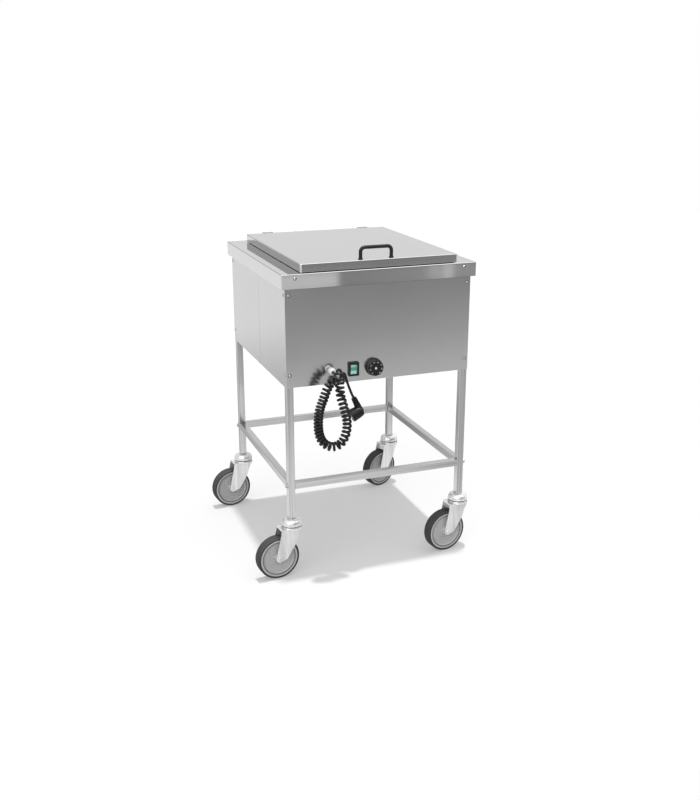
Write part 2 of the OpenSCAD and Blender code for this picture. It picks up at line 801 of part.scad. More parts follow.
// Smooth curve through the route's points
function curve_at(p, i, t) =
    let (a = p[max(i - 1, 0)], b = p[i], c = p[i + 1], d = p[min(i + 2, len(p) - 1)])
    0.5 * (2 * b + (c - a) * t + (2 * a - 5 * b + 4 * c - d) * t * t + (3 * b - a - 3 * c + d) * t * t * t);
function curve(p, steps) =
    [for (i = [0 : len(p) - 2], k = [0 : steps - 1]) curve_at(p, i, k / steps), p[len(p) - 1]];
function travelled(p) =
    [for (i = 0, s = 0; i < len(p); s = s + (i + 1 < len(p) ? norm(p[i + 1] - p[i]) : 0), i = i + 1) s];
function unit(v) = v / norm(v);

CURVE_STEPS = 10;
FINE = curve(ROUTE, CURVE_STEPS);
ALONG = travelled(FINE);
TABLE = [for (k = [0 : 2]) [for (i = [0 : len(FINE) - 1]) [ALONG[i], FINE[i][k]]]];
function route_at(s) = [for (k = [0 : 2]) lookup(s, TABLE[k])];
function heading(s) = unit(route_at(s + 2) - route_at(s - 2));

coil_a = ALONG[COIL_FROM * CURVE_STEPS];
coil_b = ALONG[COIL_TO * CURVE_STEPS];
route_end = ALONG[len(ALONG) - 1];
function spacing(i) = lookup((ALONG[i] - coil_a) / (coil_b - coil_a), SPACING);
WOUND = [for (i = COIL_FROM * CURVE_STEPS, w = 0; i <= COIL_TO * CURVE_STEPS;
    w = w + (ALONG[i + 1] - ALONG[i]) / spacing(i), i = i + 1) [w, ALONG[i]]];
wound_all = WOUND[len(WOUND) - 1][0];
function curl_s(c) = lookup(c / curls * wound_all, WOUND);
function grow(c) = min(1, c, curls - c);
function curl_point(c) =
    let (s = curl_s(c), t = heading(s), n = unit(cross([0, 1, 0], t)), b = cross(t, n), r = coil_r * grow(c))
    route_at(s) + r * (cos(360 * c) * n + sin(360 * c) * b);
plain_a = round((coil_a - cord_d) / plain_step);
plain_b = round((route_end - coil_b - cord_d) / plain_step);
CENTRE = concat(
    [ROUTE[0]],
    [for (i = [0 : plain_a]) route_at(cord_d + i * (coil_a - cord_d) / (plain_a + 1))],
    [for (i = [0 : curls * curl_rings]) curl_point(i / curl_rings)],
    [for (i = [1 : plain_b + 1]) route_at(coil_b + i * (route_end - cord_d - coil_b) / (plain_b + 1))],
    [ROUTE[len(ROUTE) - 1]]);
RINGS = len(CENTRE);

// Direction of the tube at each ring, and a side direction carried along without twist
AIM = [for (i = [0 : RINGS - 1])
    i < 2 ? unit(CENTRE[1] - CENTRE[0])
    : i > RINGS - 3 ? unit(CENTRE[RINGS - 1] - CENTRE[RINGS - 2])
    : unit(CENTRE[i + 1] - CENTRE[i - 1])];
function carry(v, a, b) = unit(v - b * (v * b));
SIDE = [for (i = 0, v = [1, 0, 0]; i < RINGS; i = i + 1, v = i < RINGS ? carry(v, AIM[i - 1], AIM[i]) : v) v];

module power_cord() {
    points = [for (i = [0 : RINGS - 1], k = [0 : cord_sides - 1])
        CENTRE[i] + cord_r * (cos(k * 360 / cord_sides) * SIDE[i] + sin(k * 360 / cord_sides) * cross(AIM[i], SIDE[i]))];
    first = RINGS * cord_sides;
    walls = [for (i = [0 : RINGS - 2], k = [0 : cord_sides - 1], h = [0, 1])
        let (a = i * cord_sides + k, b = i * cord_sides + (k + 1) % cord_sides)
        h == 0 ? [a, b, b + cord_sides] : [a, b + cord_sides, a + cord_sides]];
    ends = [for (k = [0 : cord_sides - 1], h = [0, 1])
        let (n = (k + 1) % cord_sides, last = (RINGS - 1) * cord_sides)
        h == 0 ? [first, n, k] : [first + 1, last + k, last + n]];
    color([0.13, 0.13, 0.13])
        polyhedron(concat(points, [CENTRE[0], CENTRE[RINGS - 1]]), concat(walls, ends));
}

union() {  // power_cord
    gaps = [for (i = [0 : RINGS - 7]) min([for (j = [i + 6 : RINGS - 1]) norm(CENTRE[i] - CENTRE[j])])];
    lengths = travelled(CENTRE);
    echo(least_gap = min(gaps) - cord_d, cord_length = lengths[RINGS - 1], rings = RINGS, turns = wound_all);
}

// Places the plug: its neck along Z, its pins along -X
module at_plug() {
    translate(plug_at) rotate([0, -plug_lean, 0]) children();
}

module plug_body() {
    rise = plug_r - plug_nose;
    dome = [for (a = [0 : 15 : 90]) [plug_nose + rise * cos(a), plug_band + (plug_depth - plug_band) * sin(a)]];
    color([0.15, 0.15, 0.15]) at_plug() {
        rotate([0, 90, 0]) rotate_extrude()
            polygon(concat([[0, 0], [plug_r - 1, 0], [plug_r, 1]], dome, [[0, plug_depth]]));
        translate([neck_in, 0, 0]) sphere(neck_r0);
        translate([neck_in, 0, 0]) cylinder(r1 = neck_r0, r2 = neck_r1, h = neck_top);
    }
}

module plug_pins() {
    color("silver") at_plug() for (k = [-1, 1])
        translate([0, k * pin_pitch / 2, 0]) rod_x(pin_rad, -pin_l, 0);
}

module lid() {
    color("gainsboro") difference() {
        translate([0, lid_y0 + lid_d / 2, 0]) difference() {
            translate([0, 0, lid_z]) linear_extrude(lid_h) rounded(lid_w, lid_d, lid_r);
            translate([0, 0, lid_z + sheet]) linear_extrude(lid_h - 2 * sheet)
                rounded(lid_w - 2 * sheet, lid_d - 2 * sheet, lid_r - sheet);
            translate([0, 0, lid_z - 1]) linear_extrude(lid_h - sheet)
                rounded(lid_w - 2 * lid_hem, lid_d - 2 * lid_hem, lid_r);
        }
        for (k = [-1, 1]) translate([handle_x + k * handle_span / 2, handle_y, lid_top - 2 * sheet])
            cylinder(r = handle_screw_r + hole_gap, h = 3 * sheet);
    }
}

module lid_handle() {
    r = handle_d / 2;
    straight = handle_rise - handle_bend;
    across = handle_span - 2 * handle_bend;
    color([0.1, 0.1, 0.1]) translate([handle_x, handle_y, lid_top]) difference() {
        union() {
            for (k = [-1, 1]) {
                translate([k * handle_span / 2, 0, 0]) cylinder(r = r, h = straight);
                translate([k * across / 2, 0, straight]) rotate([90, 0, 0]) rotate([0, 0, k > 0 ? 0 : 90])
                    rotate_extrude(angle = 90) translate([handle_bend, 0]) circle(r);
            }
            translate([0, 0, handle_rise]) rod_x(r, -across / 2, across / 2);
        }
        for (k = [-1, 1]) translate([k * handle_span / 2, 0, -1])
            cylinder(r = handle_screw_r + hole_gap, h = handle_screw_in + 2);
    }
}

module handle_screws() {
    color("silver") for (k = [-1, 1])
        translate([handle_x + k * handle_span / 2, handle_y, lid_top - sheet]) {
            translate([0, 0, -handle_head_t]) cylinder(r = handle_head_r, h = handle_head_t);
            cylinder(r = handle_screw_r, h = sheet + handle_screw_in);
        }
}

// Both hinges: their children, placed at each hinge's axis
module each_hinge() {
    for (sx = [-1, 1]) translate([sx * hinge_x, hinge_y, hinge_z]) children();
}

module hinge_brackets() {
    half = hinge_l / 2;
    mid = knuckle_mid / 2 + knuckle_gap;
    down = deck_z - hinge_z;
    color("silver") each_hinge() difference() {
        union() {
            for (x = [-half, mid]) {
                rod_x(knuckle_r, x, x + half - mid);
                block([x, 0, -knuckle_r], [x + half - mid, knuckle_r, 0]);
            }
            block([-half, knuckle_r - leaf_t, down], [half, knuckle_r, -knuckle_r - knuckle_gap]);
            for (x = [-half, mid])
                block([x, knuckle_r - leaf_t, -knuckle_r - 1], [x + half - mid, knuckle_r, 0]);
            block([-half, knuckle_r - leaf_t, down], [half, knuckle_r + foot_l, down + leaf_t]);
        }
        rod_x(pin_r + hole_gap, -half - 1, half + 1);
        for (k = [-1, 1])
            translate([k * foot_screw_x, foot_screw_y - hinge_y, down - 1])
                cylinder(r = foot_screw_r + hole_gap, h = leaf_t + 2);
    }
}

module hinge_leaves() {
    half = hinge_l / 2;
    mid = knuckle_mid / 2;
    back = lid_back - hinge_y;
    color("silver") each_hinge() difference() {
        union() {
            block([-half, back, -leaf_drop], [half, back + leaf_t, -knuckle_r - knuckle_gap]);
            block([-mid, back, -knuckle_r - 1], [mid, back + leaf_t, 0]);
            block([-mid, back, -knuckle_r], [mid, 0, 0]);
            rod_x(knuckle_r, -mid, mid);
        }
        rod_x(pin_r + run_gap, -half - 1, half + 1);
    }
}

module hinge_pins() {
    color("gray") each_hinge() rod_x(pin_r, -hinge_l / 2, hinge_l / 2);
}

module hinge_screws() {
    color("silver") for (sx = [-1, 1], k = [-1, 1])
        translate([sx * hinge_x + k * foot_screw_x, foot_screw_y, deck_z + leaf_t]) {
            cylinder(r = foot_head_r, h = foot_head_t);
            translate([0, 0, -leaf_t - sheet - 3]) cylinder(r = foot_screw_r, h = leaf_t + sheet + 3.1);
        }
}

// Places a caster's piece under its leg, turned on its swivel axis; it trails to the left
module at_caster(sx, sy) {
    translate([sx * leg_x, sy * leg_y, 0]) rotate([0, 0, TURNS[sy > 0 ? 1 : 0][sx > 0 ? 1 : 0]]) children();
}

// Swivel head under the leg, with the stem in the leg and the pin through the fork
module cap(sx, sy) {
    top_r = tube / 2 + cap_lip;
    rise = leg_z - cap_z - cap_wall;
    arc = [for (a = [0 : 15 : 90]) [top_r + (cap_r - top_r) * cos(a), cap_z + cap_wall + rise * sin(a)]];
    color("whitesmoke") translate([sx * leg_x, sy * leg_y, 0]) {
        rotate_extrude() polygon(concat([[0, cap_z], [cap_r, cap_z]], arc, [[0, leg_z]]));
        translate([0, 0, crown_z - crown_t - king_head_t]) cylinder(r = king_r, h = cap_z + 1 - crown_z + crown_t + king_head_t);
        translate([0, 0, crown_z - crown_t - king_head_t - race_gap]) cylinder(r = king_head_r, h = king_head_t);
        translate([-stem_w / 2, -stem_w / 2, leg_z - 1]) cube([stem_w, stem_w, stem_l + 1]);
    }
}

// One side plate of the fork, in the plane of travel
module fork_side() {
    low = crown_z - crown_t;
    front = [for (p = FORK_EDGE) [p.x - trail, p.y + axle_z]];
    polygon(concat([[fork_nose, low + 1], [-fork_back, low + 1], [-trail - tip_r * 0.95, axle_z + 4],
        [-trail, axle_z - tip_r]], front));
    translate([-trail, axle_z]) circle(tip_r);
}

module fork(sx, sy) {
    color("whitesmoke") at_caster(sx, sy) difference() {
        union() {
            for (y = [-fork_out, fork_in])
                translate([0, y + fork_t, 0]) rotate([90, 0, 0]) linear_extrude(fork_t) fork_side();
            translate([0, 0, crown_z - crown_t]) cylinder(r = crown_d / 2, h = crown_t);
            block([-fork_back, -fork_out, crown_z - crown_t], [0, fork_out, crown_z - 1]);
            translate([0, 0, crown_z - 0.1]) cylinder(r = race_r, h = race_t + 0.1);
        }
        translate([0, 0, crown_z - crown_t - 1]) cylinder(r = king_r + run_gap, h = race_t + crown_t + 2);
        translate([-trail, 0, axle_z]) rod_y(axle_r + hole_gap, -fork_out - 1, fork_out + 1);
    }
}

module axle(sx, sy) {
    color("lightgray") at_caster(sx, sy) translate([-trail, 0, axle_z]) {
        rod_y(axle_r, -fork_out - 0.1, fork_out + 0.1);
        for (k = [-1, 1]) scale_y(k) rod_y(axle_head_r, fork_out, fork_out + axle_head_t);
    }
}

// Wheel centre: hub, web and rim as one turned shape
module wheel(sx, sy) {
    hub_r = axle_r + hub_wall;
    rim_r = core_r - rim_wall;
    rim_half = wheel_w / 2 - rim_side;
    web = wheel_w / 2 - web_side;
    color("darkgray") at_caster(sx, sy) translate([-trail, 0, axle_z]) rotate([90, 0, 0]) rotate_extrude()
        polygon([[axle_r + run_gap, -hub_half], [hub_r, -hub_half], [hub_r + web_flare, -web],
            [rim_r - web_flare, -web], [rim_r, -rim_half], [core_r, -rim_half], [core_r, rim_half], [rim_r, rim_half],
            [rim_r - web_flare, web], [hub_r + web_flare, web], [hub_r, hub_half], [axle_r + run_gap, hub_half]]);
}

module tyre(sx, sy) {
    half = wheel_w / 2;
    round = min(tyre_t, 5) * 0.8;
    arc = [for (a = [0 : 15 : 90]) [wheel_r - round + round * sin(a), half - round + round * cos(a)]];
    back = [for (i = [len(arc) - 1 : -1 : 0]) [arc[i][0], -arc[i][1]]];
    color("dimgray") at_caster(sx, sy) translate([-trail, 0, axle_z]) rotate([90, 0, 0]) rotate_extrude()
        polygon(concat([[core_r, half]], arc, back, [[core_r, -half]]));
}

leg(-1, -1);  // leg_front_left
leg(1, -1);  // leg_front_right
leg(-1, 1);  // leg_back_left
leg(1, 1);  // leg_back_right
rail_x(-1);  // rail_front
rail_x(1);  // rail_back
rail_y(-1);  // rail_left
rail_y(1);  // rail_right
rail_end_plugs();
rail_bolts();
top_deck();
deck_rivets();
front_shell();
rear_shell();
shell_screws();
bottom_plate();
well();
insulation();
heating_element();
element_clamps();
thermostat_sensor();
thermostat_body();
thermostat_spindle();
thermostat_knob();
switch_housing();
switch_rocker();
terminal_block();
wiring_loom();
cable_gland();
gland_locknut();
power_cord();
plug_body();
plug_pins();
lid();
lid_handle();
handle_screws();
hinge_brackets();
hinge_leaves();
hinge_pins();
hinge_screws();
cap(-1, -1);  // cap_front_left
cap(1, -1);  // cap_front_right
cap(-1, 1);  // cap_back_left
cap(1, 1);  // cap_back_right
fork(-1, -1);  // fork_front_left
fork(1, -1);  // fork_front_right
fork(-1, 1);  // fork_back_left
fork(1, 1);  // fork_back_right
axle(-1, -1);  // axle_front_left
axle(1, -1);  // axle_front_right
axle(-1, 1);  // axle_back_left
axle(1, 1);  // axle_back_right
wheel(-1, -1);  // wheel_front_left
wheel(1, -1);  // wheel_front_right
wheel(-1, 1);  // wheel_back_left
wheel(1, 1);  // wheel_back_right
tyre(-1, -1);  // tyre_front_left
tyre(1, -1);  // tyre_front_right
tyre(-1, 1);  // tyre_back_left
tyre(1, 1);  // tyre_back_right
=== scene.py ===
import json
import math
import bpy
import bmesh
from mathutils import Matrix, Vector


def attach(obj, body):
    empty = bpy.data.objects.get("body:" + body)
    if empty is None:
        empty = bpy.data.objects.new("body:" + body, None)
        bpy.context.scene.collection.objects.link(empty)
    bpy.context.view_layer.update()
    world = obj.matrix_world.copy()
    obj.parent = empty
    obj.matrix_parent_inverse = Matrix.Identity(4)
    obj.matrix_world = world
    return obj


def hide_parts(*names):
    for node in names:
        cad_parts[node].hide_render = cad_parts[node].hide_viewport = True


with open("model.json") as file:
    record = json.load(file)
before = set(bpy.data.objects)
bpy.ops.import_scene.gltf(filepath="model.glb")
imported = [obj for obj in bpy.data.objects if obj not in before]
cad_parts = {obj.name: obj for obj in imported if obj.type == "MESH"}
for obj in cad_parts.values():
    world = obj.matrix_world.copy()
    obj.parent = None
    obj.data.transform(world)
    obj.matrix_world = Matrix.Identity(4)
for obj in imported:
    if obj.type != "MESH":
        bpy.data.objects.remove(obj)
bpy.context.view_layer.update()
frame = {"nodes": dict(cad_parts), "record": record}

nodes = frame["nodes"]
corners = ("front_left", "front_right", "back_left", "back_right")
signs = [(sx, sy) for sx in (-1, 1) for sy in (-1, 1)]
print("frame loaded:", len(nodes), "nodes")


def placed(name, data):
    made = bpy.data.objects.new(name, data)
    bpy.context.scene.collection.objects.link(made)
    return made


# camera
cameraSet = {
    "place": (-1.02027, -2.79395, 1.38631),
    "azimuth": -20.36,
    "elevation": 18.09,
    "lens": 45.27, "sensor": 36, "clip": (0.05, 60),
}


def addCamera(spec):
    data = bpy.data.cameras.new("camera")
    data.sensor_width = spec["sensor"]
    data.lens = spec["lens"]
    data.clip_start, data.clip_end = spec["clip"]
    camera = placed("camera", data)
    a, e = math.radians(spec["azimuth"]), math.radians(spec["elevation"])
    back = Vector((math.sin(a) * math.cos(e), -math.cos(a) * math.cos(e), math.sin(e)))
    camera.location = spec["place"]
    camera.rotation_mode = "QUATERNION"
    camera.rotation_quaternion = (-back).to_track_quat("-Z", "Y")
    bpy.context.scene.camera = camera


addCamera(cameraSet)


# small helpers
def addObject(name, data, body, slot=None, replaced=()):
    piece = placed(name, data)
    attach(piece, body)
    if replaced:
        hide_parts(*replaced)
    return piece


def bodyOf(node):
    for body, members in frame["record"]["behaviour"]["bodies"].items():
        if node in members:
            return body


def slotOf(node):
    for row in frame["record"]["subparts"]:
        if row["node"] == node:
            return row["material_slot"]


# the cord, in millimetres: made before the other pieces, like the camera
cordSet = {
    "radius": 0.0037,
    "coil": 0.01005,           # from the coil's middle to the cord's middle
    "curls": 40,
    "stepsPerCurl": 20,
    "from": 8, "to": 31,       # route points between which it is curled
    "plainStep": 3,
    "spacing": ((0, 13.4), (0.1, 12), (0.18, 9.4), (0.38, 9.4), (0.46, 12.8), (0.6, 13.2), (0.7, 11.8), (1, 13.4)),
    "route": (
        (-146, -306, 604), (-146, -311, 604), (-146, -316, 604),
        (-143, -324, 605), (-136, -328, 606), (-129, -331, 604), (-125, -333, 598), (-127, -334, 592),
        (-136, -335, 590), (-148, -335, 590), (-159, -334, 586), (-168, -334, 577), (-174, -333, 565),
        (-184, -332, 538), (-192, -331, 517), (-197, -330, 492), (-198, -329, 462), (-194, -328, 434),
        (-183, -327, 412), (-165, -326, 398), (-146, -326, 396), (-130, -327, 405), (-120, -328, 422),
        (-115, -329, 442), (-114, -329, 461), (-117, -329, 482), (-122, -328, 502), (-126, -327, 519),
        (-130, -325, 535), (-131, -319, 555), (-129, -310, 572),
        (-125, -304, 585), (-122, -302, 592), (-118, -301, 597), (-113, -301, 597), (-109, -301, 590),
        (-106, -301, 578), (-98, -300, 556)),
    "plugAt": (-91, -299, 469),
    "plugLean": 26,
    "neckIn": 30, "neckTop": 44, "straight": (14, 7, 0),     # last points, above the plug's neck
}


def plugFrame(spec):
    lean = math.radians(spec["plugLean"])
    up = Vector((-math.sin(lean), 0, math.cos(lean)))
    out = Vector((math.cos(lean), 0, math.sin(lean)))
    return Vector(spec["plugAt"]), out, up


def between(table, x):
    for (x0, y0), (x1, y1) in zip(table, table[1:]):
        if x <= x1:
            return y0 + (y1 - y0) * (x - x0) / (x1 - x0) if x1 > x0 else y1
    return table[-1][1]


def cordPath(spec):
    at, out, up = plugFrame(spec)
    mouth = at + spec["neckIn"] * out + spec["neckTop"] * up
    route = [Vector(p) for p in spec["route"]] + [mouth + high * up for high in spec["straight"]]
    fine, steps = [], 10
    for i in range(len(route) - 1):
        a, b, c, d = route[max(i - 1, 0)], route[i], route[i + 1], route[min(i + 2, len(route) - 1)]
        for k in range(steps):
            t = k / steps
            fine.append(0.5 * (2 * b + (c - a) * t + (2 * a - 5 * b + 4 * c - d) * t * t
                               + (3 * b - a - 3 * c + d) * t * t * t))
    fine.append(route[-1])
    along = [0.0]
    for a, b in zip(fine, fine[1:]):
        along.append(along[-1] + (b - a).length)
    tables = [[(s, p[axis]) for s, p in zip(along, fine)] for axis in range(3)]

    def routeAt(s):
        return Vector([between(table, s) for table in tables])

    first, last = spec["from"] * steps, spec["to"] * steps
    start, stop = along[first], along[last]
    wound, total = [], 0.0
    for i in range(first, last + 1):
        wound.append((total, along[i]))
        total += (along[i + 1] - along[i]) / between(spec["spacing"], (along[i] - start) / (stop - start))
    turns = wound[-1][0]
    points = []
    plain = int(start / spec["plainStep"])
    for i in range(plain):
        points.append(routeAt(i * start / plain))
    count = spec["curls"] * spec["stepsPerCurl"]
    for i in range(count + 1):
        curl = i / spec["stepsPerCurl"]
        s = between(wound, curl / spec["curls"] * turns)
        heading = (routeAt(s + 2) - routeAt(s - 2)).normalized()
        side = Vector((0, 1, 0)).cross(heading).normalized()
        rise = heading.cross(side)
        radius = 1000 * spec["coil"] * min(1, curl, spec["curls"] - curl)
        turn = 2 * math.pi * curl
        points.append(routeAt(s) + radius * (math.cos(turn) * side + math.sin(turn) * rise))
    rest = int((along[-1] - stop) / spec["plainStep"])
    for i in range(1, rest + 1):
        points.append(routeAt(stop + i * (along[-1] - stop) / rest))
    return [p / 1000 for p in points]


cordPoints = cordPath(cordSet)
cordLength = sum((b - a).length for a, b in zip(cordPoints, cordPoints[1:]))


def makeCord(points, spec):
    data = bpy.data.curves.new("power_lead", "CURVE")
    data.dimensions = "3D"
    data.bevel_depth = 1.0        # the points hold the cord's own radius
    data.bevel_resolution = 4
    data.use_fill_caps = True
    spline = data.splines.new("POLY")
    spline.points.add(len(points) - 1)
    for point, place in zip(spline.points, points):
        point.co, point.radius = (*place, 1), spec["radius"]
    spline.use_smooth = True
    return addObject("power_lead", data, "frame", "cord_rubber", ["power_cord"])


powerLead = makeCord(cordPoints, cordSet)
print("cord laid:", round(cordLength, 3), "m")

# floor, background and light
stageSet = {
    "front": -1.4, "back": 8.0, "side": 6.0, "drop": 0.0004,
    "floorTone": 0.35,
    "floorSeen": 0.292,       # glow of the floor for the camera
    "floorMirrored": (0.56, 0.86), "floorDepth": (1.5, 2.6),     # what metal mirrors of it: close by, far behind
    "wheelFloor": 0.36, "wheelFloorAt": (-0.35, 0.62, 0.12),     # more of it round the wheels
    "frontFloor": 0.30, "frontFloorAt": ((-0.45, 0.1), (0.4, 0.15)),     # and in front
    # painted shadow in the floor's mirrored image, right behind the trolley
    "backFloor": 0.42, "backFloorAt": ((0.3, 1.6, 0.12), (-0.35, 1.0, 0.1)),     # less right behind the trolley
    "sunFrom": (0.03, 0.03, 1.0), "sunPower": 3.3, "sunSpread": 2.4, "sunHeight": 4,
    "sky": 0.76,
    "leftSky": 0.40,          # behind on the left, above the horizon
    "leftSkyAt": ((-0.02, 0.12), (0.6, 0.15), (0.05, 0.5, 0.08)),
    "frontAt": ((0.14, 0.06), (-0.25, 0.25), (0.5, 0.15)),     # where the sky gives way to what is in front
    "eyeLevel": 0.17, "eyeAt": (-0.21, -0.199),
    "void": ((-0.222, 0.18), (-0.262, 0.255), (-0.335, 0.70)),     # in front: how far down, how bright
    "slant": ((-0.36, -0.3), (0.27, 0.5), (-0.2, 0.13)),     # its change from left to right, higher up
    "overhead": 0.8, "overheadFrom": (0.325, -0.31, 0.893), "overheadEdge": (0.85, 0.1),
    "key": 1.8, "keyFrom": (-0.55, -0.60, 0.58), "keyEdge": (0.9, 0.05),     # soft box in front on the left
    "band": (-0.2215, -0.2010, 0.0015),       # the height at which the rim mirrors the studio
    "bandTone": (0.26, 0.34), "bandAcross": (0.36, 0.5), "bandFrom": (0.2, -0.3),
    "cards": ((0.262, 0.358, 0.001, 0.62), (0.463, 0.483, 0.007, 0.44),     # left, right, softness, tone
              (0.482, 0.494, 0.002, 0.58)),
}


class Value:
    def __init__(self, tree, socket=None):
        self.tree, self.socket = tree, socket

    def make(self, kind, inputs=None, settings=None, output=0):
        node = self.tree.nodes.new(kind)
        for name, value in (settings or {}).items():
            setattr(node, name, value)
        for key, given in (inputs or {}).items():
            if isinstance(given, Value):
                self.tree.links.new(given.socket, node.inputs[key])
            else:
                node.inputs[key].default_value = given
        return Value(self.tree, node.outputs[output] if len(node.outputs) else None)

    def math(self, operation, *given):
        return self.make("ShaderNodeMath", dict(enumerate(given)), {"operation": operation})

    def __add__(self, other):
        return self.math("ADD", self, other)

    def __radd__(self, other):
        return self.math("ADD", other, self)

    def __sub__(self, other):
        return self.math("SUBTRACT", self, other)

    def __rsub__(self, other):
        return self.math("SUBTRACT", other, self)

    def __mul__(self, other):
        return self.math("MULTIPLY", self, other)

    def __rmul__(self, other):
        return self.math("MULTIPLY", other, self)

    def __truediv__(self, other):
        return self.math("DIVIDE", self, other)

    def __abs__(self):
        return self.math("ABSOLUTE", self)

    def above(self, edge, soft=0.0):
        if not soft:
            return self.math("GREATER_THAN", self, edge)
        return self.make("ShaderNodeMapRange", {0: self, 1: edge - soft, 2: edge + soft, 3: 0.0, 4: 1.0},
                         {"interpolation_type": "SMOOTHSTEP"})

    def fade(self, start, stop, first, last):
        return self.make("ShaderNodeMapRange", {0: self, 1: start, 2: stop, 3: first, 4: last})

    def between(self, low, high, soft=0.0):
        return self.above(low, soft) * (1 - self.above(high, soft))

    def blend(self, first, second):
        return self.make("ShaderNodeMix", {0: self, 2: first, 3: second}, {"data_type": "FLOAT"})

    def tint(self, first, second):
        return self.make("ShaderNodeMix", {0: self, 6: first, 7: second}, {"data_type": "RGBA"}, 2)

    def outs(self, *names):
        return [Value(self.tree, self.socket.node.outputs[name]) for name in names]

    def parts(self):
        return self.make("ShaderNodeSeparateXYZ", {0: self}).outs(0, 1, 2)

    def join(self, x, y, z):
        return self.make("ShaderNodeCombineXYZ", {0: x, 1: y, 2: z})

    def noise(self, scale, detail=3.0, rough=0.5):
        return self.make("ShaderNodeTexNoise", {"Vector": self, "Scale": scale, "Detail": detail, "Roughness": rough})


def grey(tone):
    return (tone, tone, tone, 1)


def toned(tone, tint):
    return tuple(min(1, tone * part) for part in tint) + (1,)


def emptyTree(block):
    block.use_nodes = True
    block.node_tree.nodes.clear()
    return Value(block.node_tree)


def lightWorld(spec):
    # the metal mirrors a studio given by direction; the camera itself sees plain white
    bpy.context.scene.view_settings.view_transform = "Standard"
    world = bpy.data.worlds.new("studio")
    bpy.context.scene.world = world
    tree = emptyTree(world)
    x, y, z = tree.make("ShaderNodeTexCoord").parts()
    atX, atY, atZ = spec["leftSkyAt"]
    leftSky = (1 - x.above(*atX)) * z.between(*atZ) * y.above(*atY)
    sky = leftSky.blend(spec["sky"], spec["leftSky"])
    across, down = x / (0 - y), z / (0 - y)
    void = down.fade(*spec["eyeAt"], spec["void"][0][1], spec["eyeLevel"])
    for (high, first), (low, last) in zip(spec["void"], spec["void"][1:]):
        void = void + down.fade(low, high, last - first, 0.0)
    height, width, change = spec["slant"]
    void = void * (1 + down.fade(*height, 0.0, 1.0) * x.fade(*width, *change))
    atX, atY, atZ = spec["frontAt"]
    front = (1 - y.above(*atY)) * (1 - z.above(*atZ)) * x.above(*atX)
    light = front.blend(sky, void)
    band = across.fade(*spec["bandAcross"], *spec["bandTone"])
    for left, right, soft, tone in spec["cards"]:
        band = across.between(left, right, soft).blend(band, tone)
    right, near = spec["bandFrom"]
    light = (down.between(*spec["band"]) * (1 - y.above(near)) * x.above(right)).blend(light, band)
    for name in ("key", "overhead"):
        towards = Vector(spec[name + "From"]).normalized()
        lamp = (x * towards.x + y * towards.y + z * towards.z).above(*spec[name + "Edge"])
        light = light + lamp * spec[name]
    camera = tree.make("ShaderNodeLightPath").outs("Is Camera Ray")[0]
    shade = tree.make("ShaderNodeBackground", {0: grey(1.0), 1: camera.blend(light, 1.0)})
    tree.make("ShaderNodeOutputWorld", {0: shade})


def layFloor(spec):
    bm = bmesh.new()
    bm.faces.new([bm.verts.new((k * spec["side"], spec[end], -spec["drop"])) for k, end in
                  ((-1, "front"), (1, "front"), (1, "back"), (-1, "back"))])
    data = bpy.data.meshes.new("floor")
    bm.to_mesh(data)
    bm.free()
    floor = placed("floor", data)
    material = bpy.data.materials.new("floor_paint")
    tree = emptyTree(material)
    seen, glossy = tree.make("ShaderNodeLightPath").outs("Is Camera Ray", "Is Glossy Ray")
    paint = tree.make("ShaderNodeBsdfDiffuse", {0: grey(spec["floorTone"])})
    glow = tree.make("ShaderNodeEmission", {0: grey(1.0), 1: seen * spec["floorSeen"]})
    side, depth = tree.make("ShaderNodeTexCoord", output=3).parts()[:2]
    level = depth.fade(*spec["floorDepth"], *spec["floorMirrored"])
    level = level + depth.between(*spec["wheelFloorAt"]) * spec["wheelFloor"]
    deep, wide = spec["frontFloorAt"]
    level = level + (1 - depth.above(*deep)) * (1 - side.above(*wide)) * spec["frontFloor"]
    # painted shadow: the mirrored floor is darker right behind the trolley
    deep, wide = spec["backFloorAt"]
    level = level * (1 - depth.between(*deep) * side.between(*wide) * spec["backFloor"])
    image = tree.make("ShaderNodeEmission", {0: grey(1.0), 1: level})
    both = tree.make("ShaderNodeAddShader", {0: paint, 1: glow})
    shade = tree.make("ShaderNodeMixShader", {0: glossy, 1: both, 2: image})
    tree.make("ShaderNodeOutputMaterial", {0: shade})
    data.materials.append(material)


def hangSun(spec):
    lamp = bpy.data.lights.new("overhead", "SUN")
    lamp.energy = spec["sunPower"]
    lamp.angle = math.radians(spec["sunSpread"])
    holder = placed("overhead", lamp)
    holder.rotation_mode = "QUATERNION"
    holder.rotation_quaternion = Vector(spec["sunFrom"]).to_track_quat("Z", "Y")
    holder.location = (0, 0, spec["sunHeight"])


lightWorld(stageSet)
layFloor(stageSet)
hangSun(stageSet)
print("stage lit")


# materials
class Finish:
    def __init__(self, name):
        self.material = bpy.data.materials.new(name)
        self.tree = emptyTree(self.material)
        self.at, self.facing = self.tree.make("ShaderNodeTexCoord").outs("Object", "Normal")

    def stretched(self, x, y, z):
        return self.at.make("ShaderNodeVectorMath", {0: self.at, 1: (x, y, z)}, {"operation": "MULTIPLY"})

    def bump(self, height, depth, strength=1.0):
        return self.tree.make("ShaderNodeBump", {"Strength": strength, "Distance": depth, "Height": height})

    def close(self, **inputs):
        named = {key.replace("_", " ").title().replace("Ior", "IOR"): value for key, value in inputs.items()}
        shade = self.tree.make("ShaderNodeBsdfPrincipled", named)
        self.tree.make("ShaderNodeOutputMaterial", {0: shade})
        return self.material


